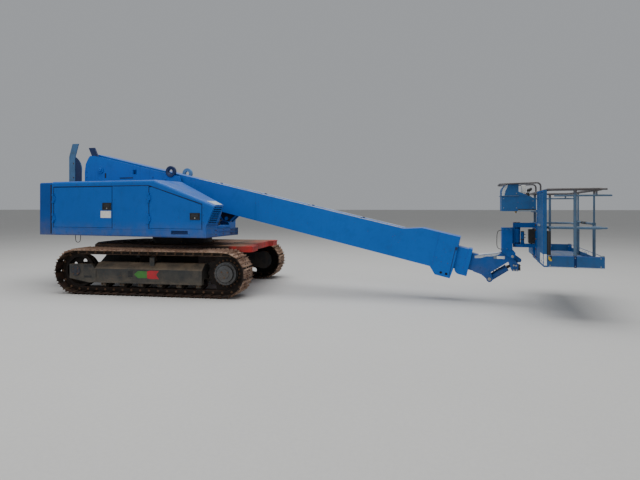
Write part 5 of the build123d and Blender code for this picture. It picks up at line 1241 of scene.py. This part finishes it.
# Rails: collars of the corner posts, plates and bolts of the feet, and grips of the gate bar
turned("post_collars", "platform", grey_cover, [
    (seat, UP, [(0, 20.5), (0, 27), (12, 27), (14, 21.5)])
    for seat, way in on_sides(POST_Y, ((POSTS[0], 0.8955), (POSTS[2], 0.8955)))
])
blocks("post_feet", "platform", blue_steel, [
    (u - 0.03, u + 0.03, *span(side, FOOT_Y, FOOT_Y + 0.0045), 0.7752, 0.886)
    for u in POSTS for side in (-1, 1)
], 0.001)
seats = [(u + s, 0.86) for u in POSTS for s in (-0.02, 0.02)]
bolts("post_bolts", "platform", zinc, on_sides(FOOT_Y, seats, True), 0.005)
turned("bar_grips", "gate_bar", rubber, [
    (place(POSTS[2], y, 1.3208), LEFT, [(0, 17.2), (1, 20.5), (129, 20.5), (130, 17.2)])
    for y in (-0.2, 0.0)
], 20)

# Engine: valve cover, filters, pulleys and lines round its plain block
ENGINE_SIDE = -1.0795
blocks("engine_covers", "turntable", engine_paint, [
    (-1.86, -0.98, -0.93, -0.66, 1.7495, 1.8), (-1.8, -1.04, -1.1, ENGINE_SIDE, 1.56, 1.7),
    (-1.9, -1.55, -1.125, ENGINE_SIDE, 1.1, 1.25), (-1.5, -1.1, -1.115, ENGINE_SIDE, 1.09, 1.17),
], 0.012)
turned("engine_ribs", "turntable", hub_grey, [
    (place(-1.78 + 0.1 * i, -1.0799, 1.63), RIGHT, [(0, 34), (30, 34), (38, 28), (42, 12)])
    for i in range(8)
])
turned("air_filter", "turntable", black_plastic, [
    (place(-1.72, -0.8, 1.89), AHEAD,
     [(0, 75), (6, 88), (70, 90), (76, 85), (84, 85), (90, 90), (360, 90), (366, 84), (400, 50), (430, 48)])
], 40)
turned("oil_filters", "turntable", yellow_paint, [
    (place(u, -1.0815, 1.39), RIGHT, [(0, 30), (6, 38), (50, 38), (58, 30), (60, 10)])
    for u in (-1.28, -1.16)
], 28)
turned("pulleys", "turntable", cylinder_black, [
    (place(-0.8505, y, z), AHEAD,
     [(0, 30), (4, r), (9, r), (14, r - 12), (19, r), (24, r), (30, r * 0.6), (36, 20)])
    for y, z, r in ((-0.77, 1.2, 95), (-0.93, 1.42, 50), (-0.66, 1.5, 60))
], 36)
tubes("engine_lines", "turntable", zinc, [
    [place(0.09 * i + u, y, z) for u, y, z in (
        (-1.45, -1.0805, 1.31 + 0.01 * i), (-1.45, -1.105, 1.31 + 0.01 * i), (-1.45, -1.105, 1.45),
        (-1.57, -1.105, 1.53), (-1.57, -1.0805, 1.53),
    )] for i in range(4)
], 0.004, 8)

# Bays behind the doors: manifold on the right, flat plates on the inner wall of the left one
WALL_Y = 0.3705
blocks("manifold", "turntable", engine_paint, [(-0.52, -0.06, -0.48, -WALL_Y, 1.3, 1.48)], 0.006)
turned("manifold_valves", "turntable", cylinder_black, [
    (place(-0.47 + 0.09 * i, -0.4255, 1.4795), UP,
     [(0, 19), (50, 19), (52, 13), (72, 13), (74, 8)]) for i in range(5)
], 20)
turned("manifold_fittings", "turntable", zinc, [
    (place(-0.47 + 0.09 * i, -0.4795, z), RIGHT, [(0, 14), (12, 14), (12, 10), (30, 10)])
    for i in range(5) for z in (1.34, 1.42)
], 12)
blocks("left_bay_plates", "turntable", grey_cover, [
    (-1.7, -1.1, WALL_Y, 0.38, 1.2, 1.6), (-0.95, -0.72, WALL_Y, 0.382, 1.25, 1.5),
    (-0.5, 0.1, WALL_Y, 0.38, 1.25, 1.6),
], 0.002)
bolts("left_bay_bolts", "turntable", zinc,
      [(place(u, 0.38, z), LEFT) for u in (-1.67, -1.13, -0.47, 0.07) for z in (1.23, 1.57)], 0.0065)

# Lift cylinder: gland and steel line on the barrel
LIFT_FOOT = place(-1.45, 0, 1.25)
LIFT_WAY = (place(1.0475, 0, 1.34635) - LIFT_FOOT).normalized()
LIFT_UP = Vector((-LIFT_WAY.z, 0, LIFT_WAY.x))
turned("lift_gland", "lift_barrel", cylinder_black, [
    (LIFT_FOOT + LIFT_WAY * 2.06, LIFT_WAY, [(0, 90.2), (3, 96.5), (82, 96.5), (88, 90.2)]),
], 44)
tubes("lift_line", "lift_barrel", zinc, [[
    LIFT_FOOT + LIFT_WAY * along + Vector((0, y, 0)) + LIFT_UP * 0.03 for along, y in (
        (0.3, 0.0905), (0.3, 0.104), (0.34, 0.108), (1.98, 0.108), (2.03, 0.104), (2.06, 0.0925))
]], 0.0075)

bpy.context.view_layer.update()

# Floor and light
floor_mesh = bpy.data.meshes.new("floor")
floor_mesh.from_pydata([(-400, -400, 0), (400, -400, 0), (400, 400, 0), (-400, 400, 0)], [], [(0, 1, 2, 3)])
floor = bpy.data.objects.new("floor", floor_mesh)
bpy.context.scene.collection.objects.link(floor)
floor_mesh.materials.append(surface(
    "floor", (196, 194, 190), rough=0.85, vary=0.02, patch=0.4, bump=0.05, bump_scale=30.0,
))

world = bpy.data.worlds.new("world")
world.use_nodes = True
world.node_tree.nodes["Background"].inputs["Color"].default_value = (0.86, 0.89, 0.93, 1.0)
world.node_tree.nodes["Background"].inputs["Strength"].default_value = 0.42
bpy.context.scene.world = world


def light(name, where, towards, size, watts, colour=(1, 1, 1)):
    data = bpy.data.lights.new(name, "AREA")
    data.shape = "RECTANGLE"
    data.size = size[0]
    data.size_y = size[1]
    data.energy = watts
    data.color = colour
    lamp = bpy.data.objects.new(name, data)
    lamp.location = where
    lamp.rotation_euler = (Vector(towards) - Vector(where)).to_track_quat("-Z", "Y").to_euler()
    bpy.context.scene.collection.objects.link(lamp)


light("sky", (0, 0, 14), (0, 0, 0), (18, 14), 2400, (0.96, 0.98, 1.0))
light("key", (-3, -13, 9), (-0.5, 0, 1), (10, 6), 480)
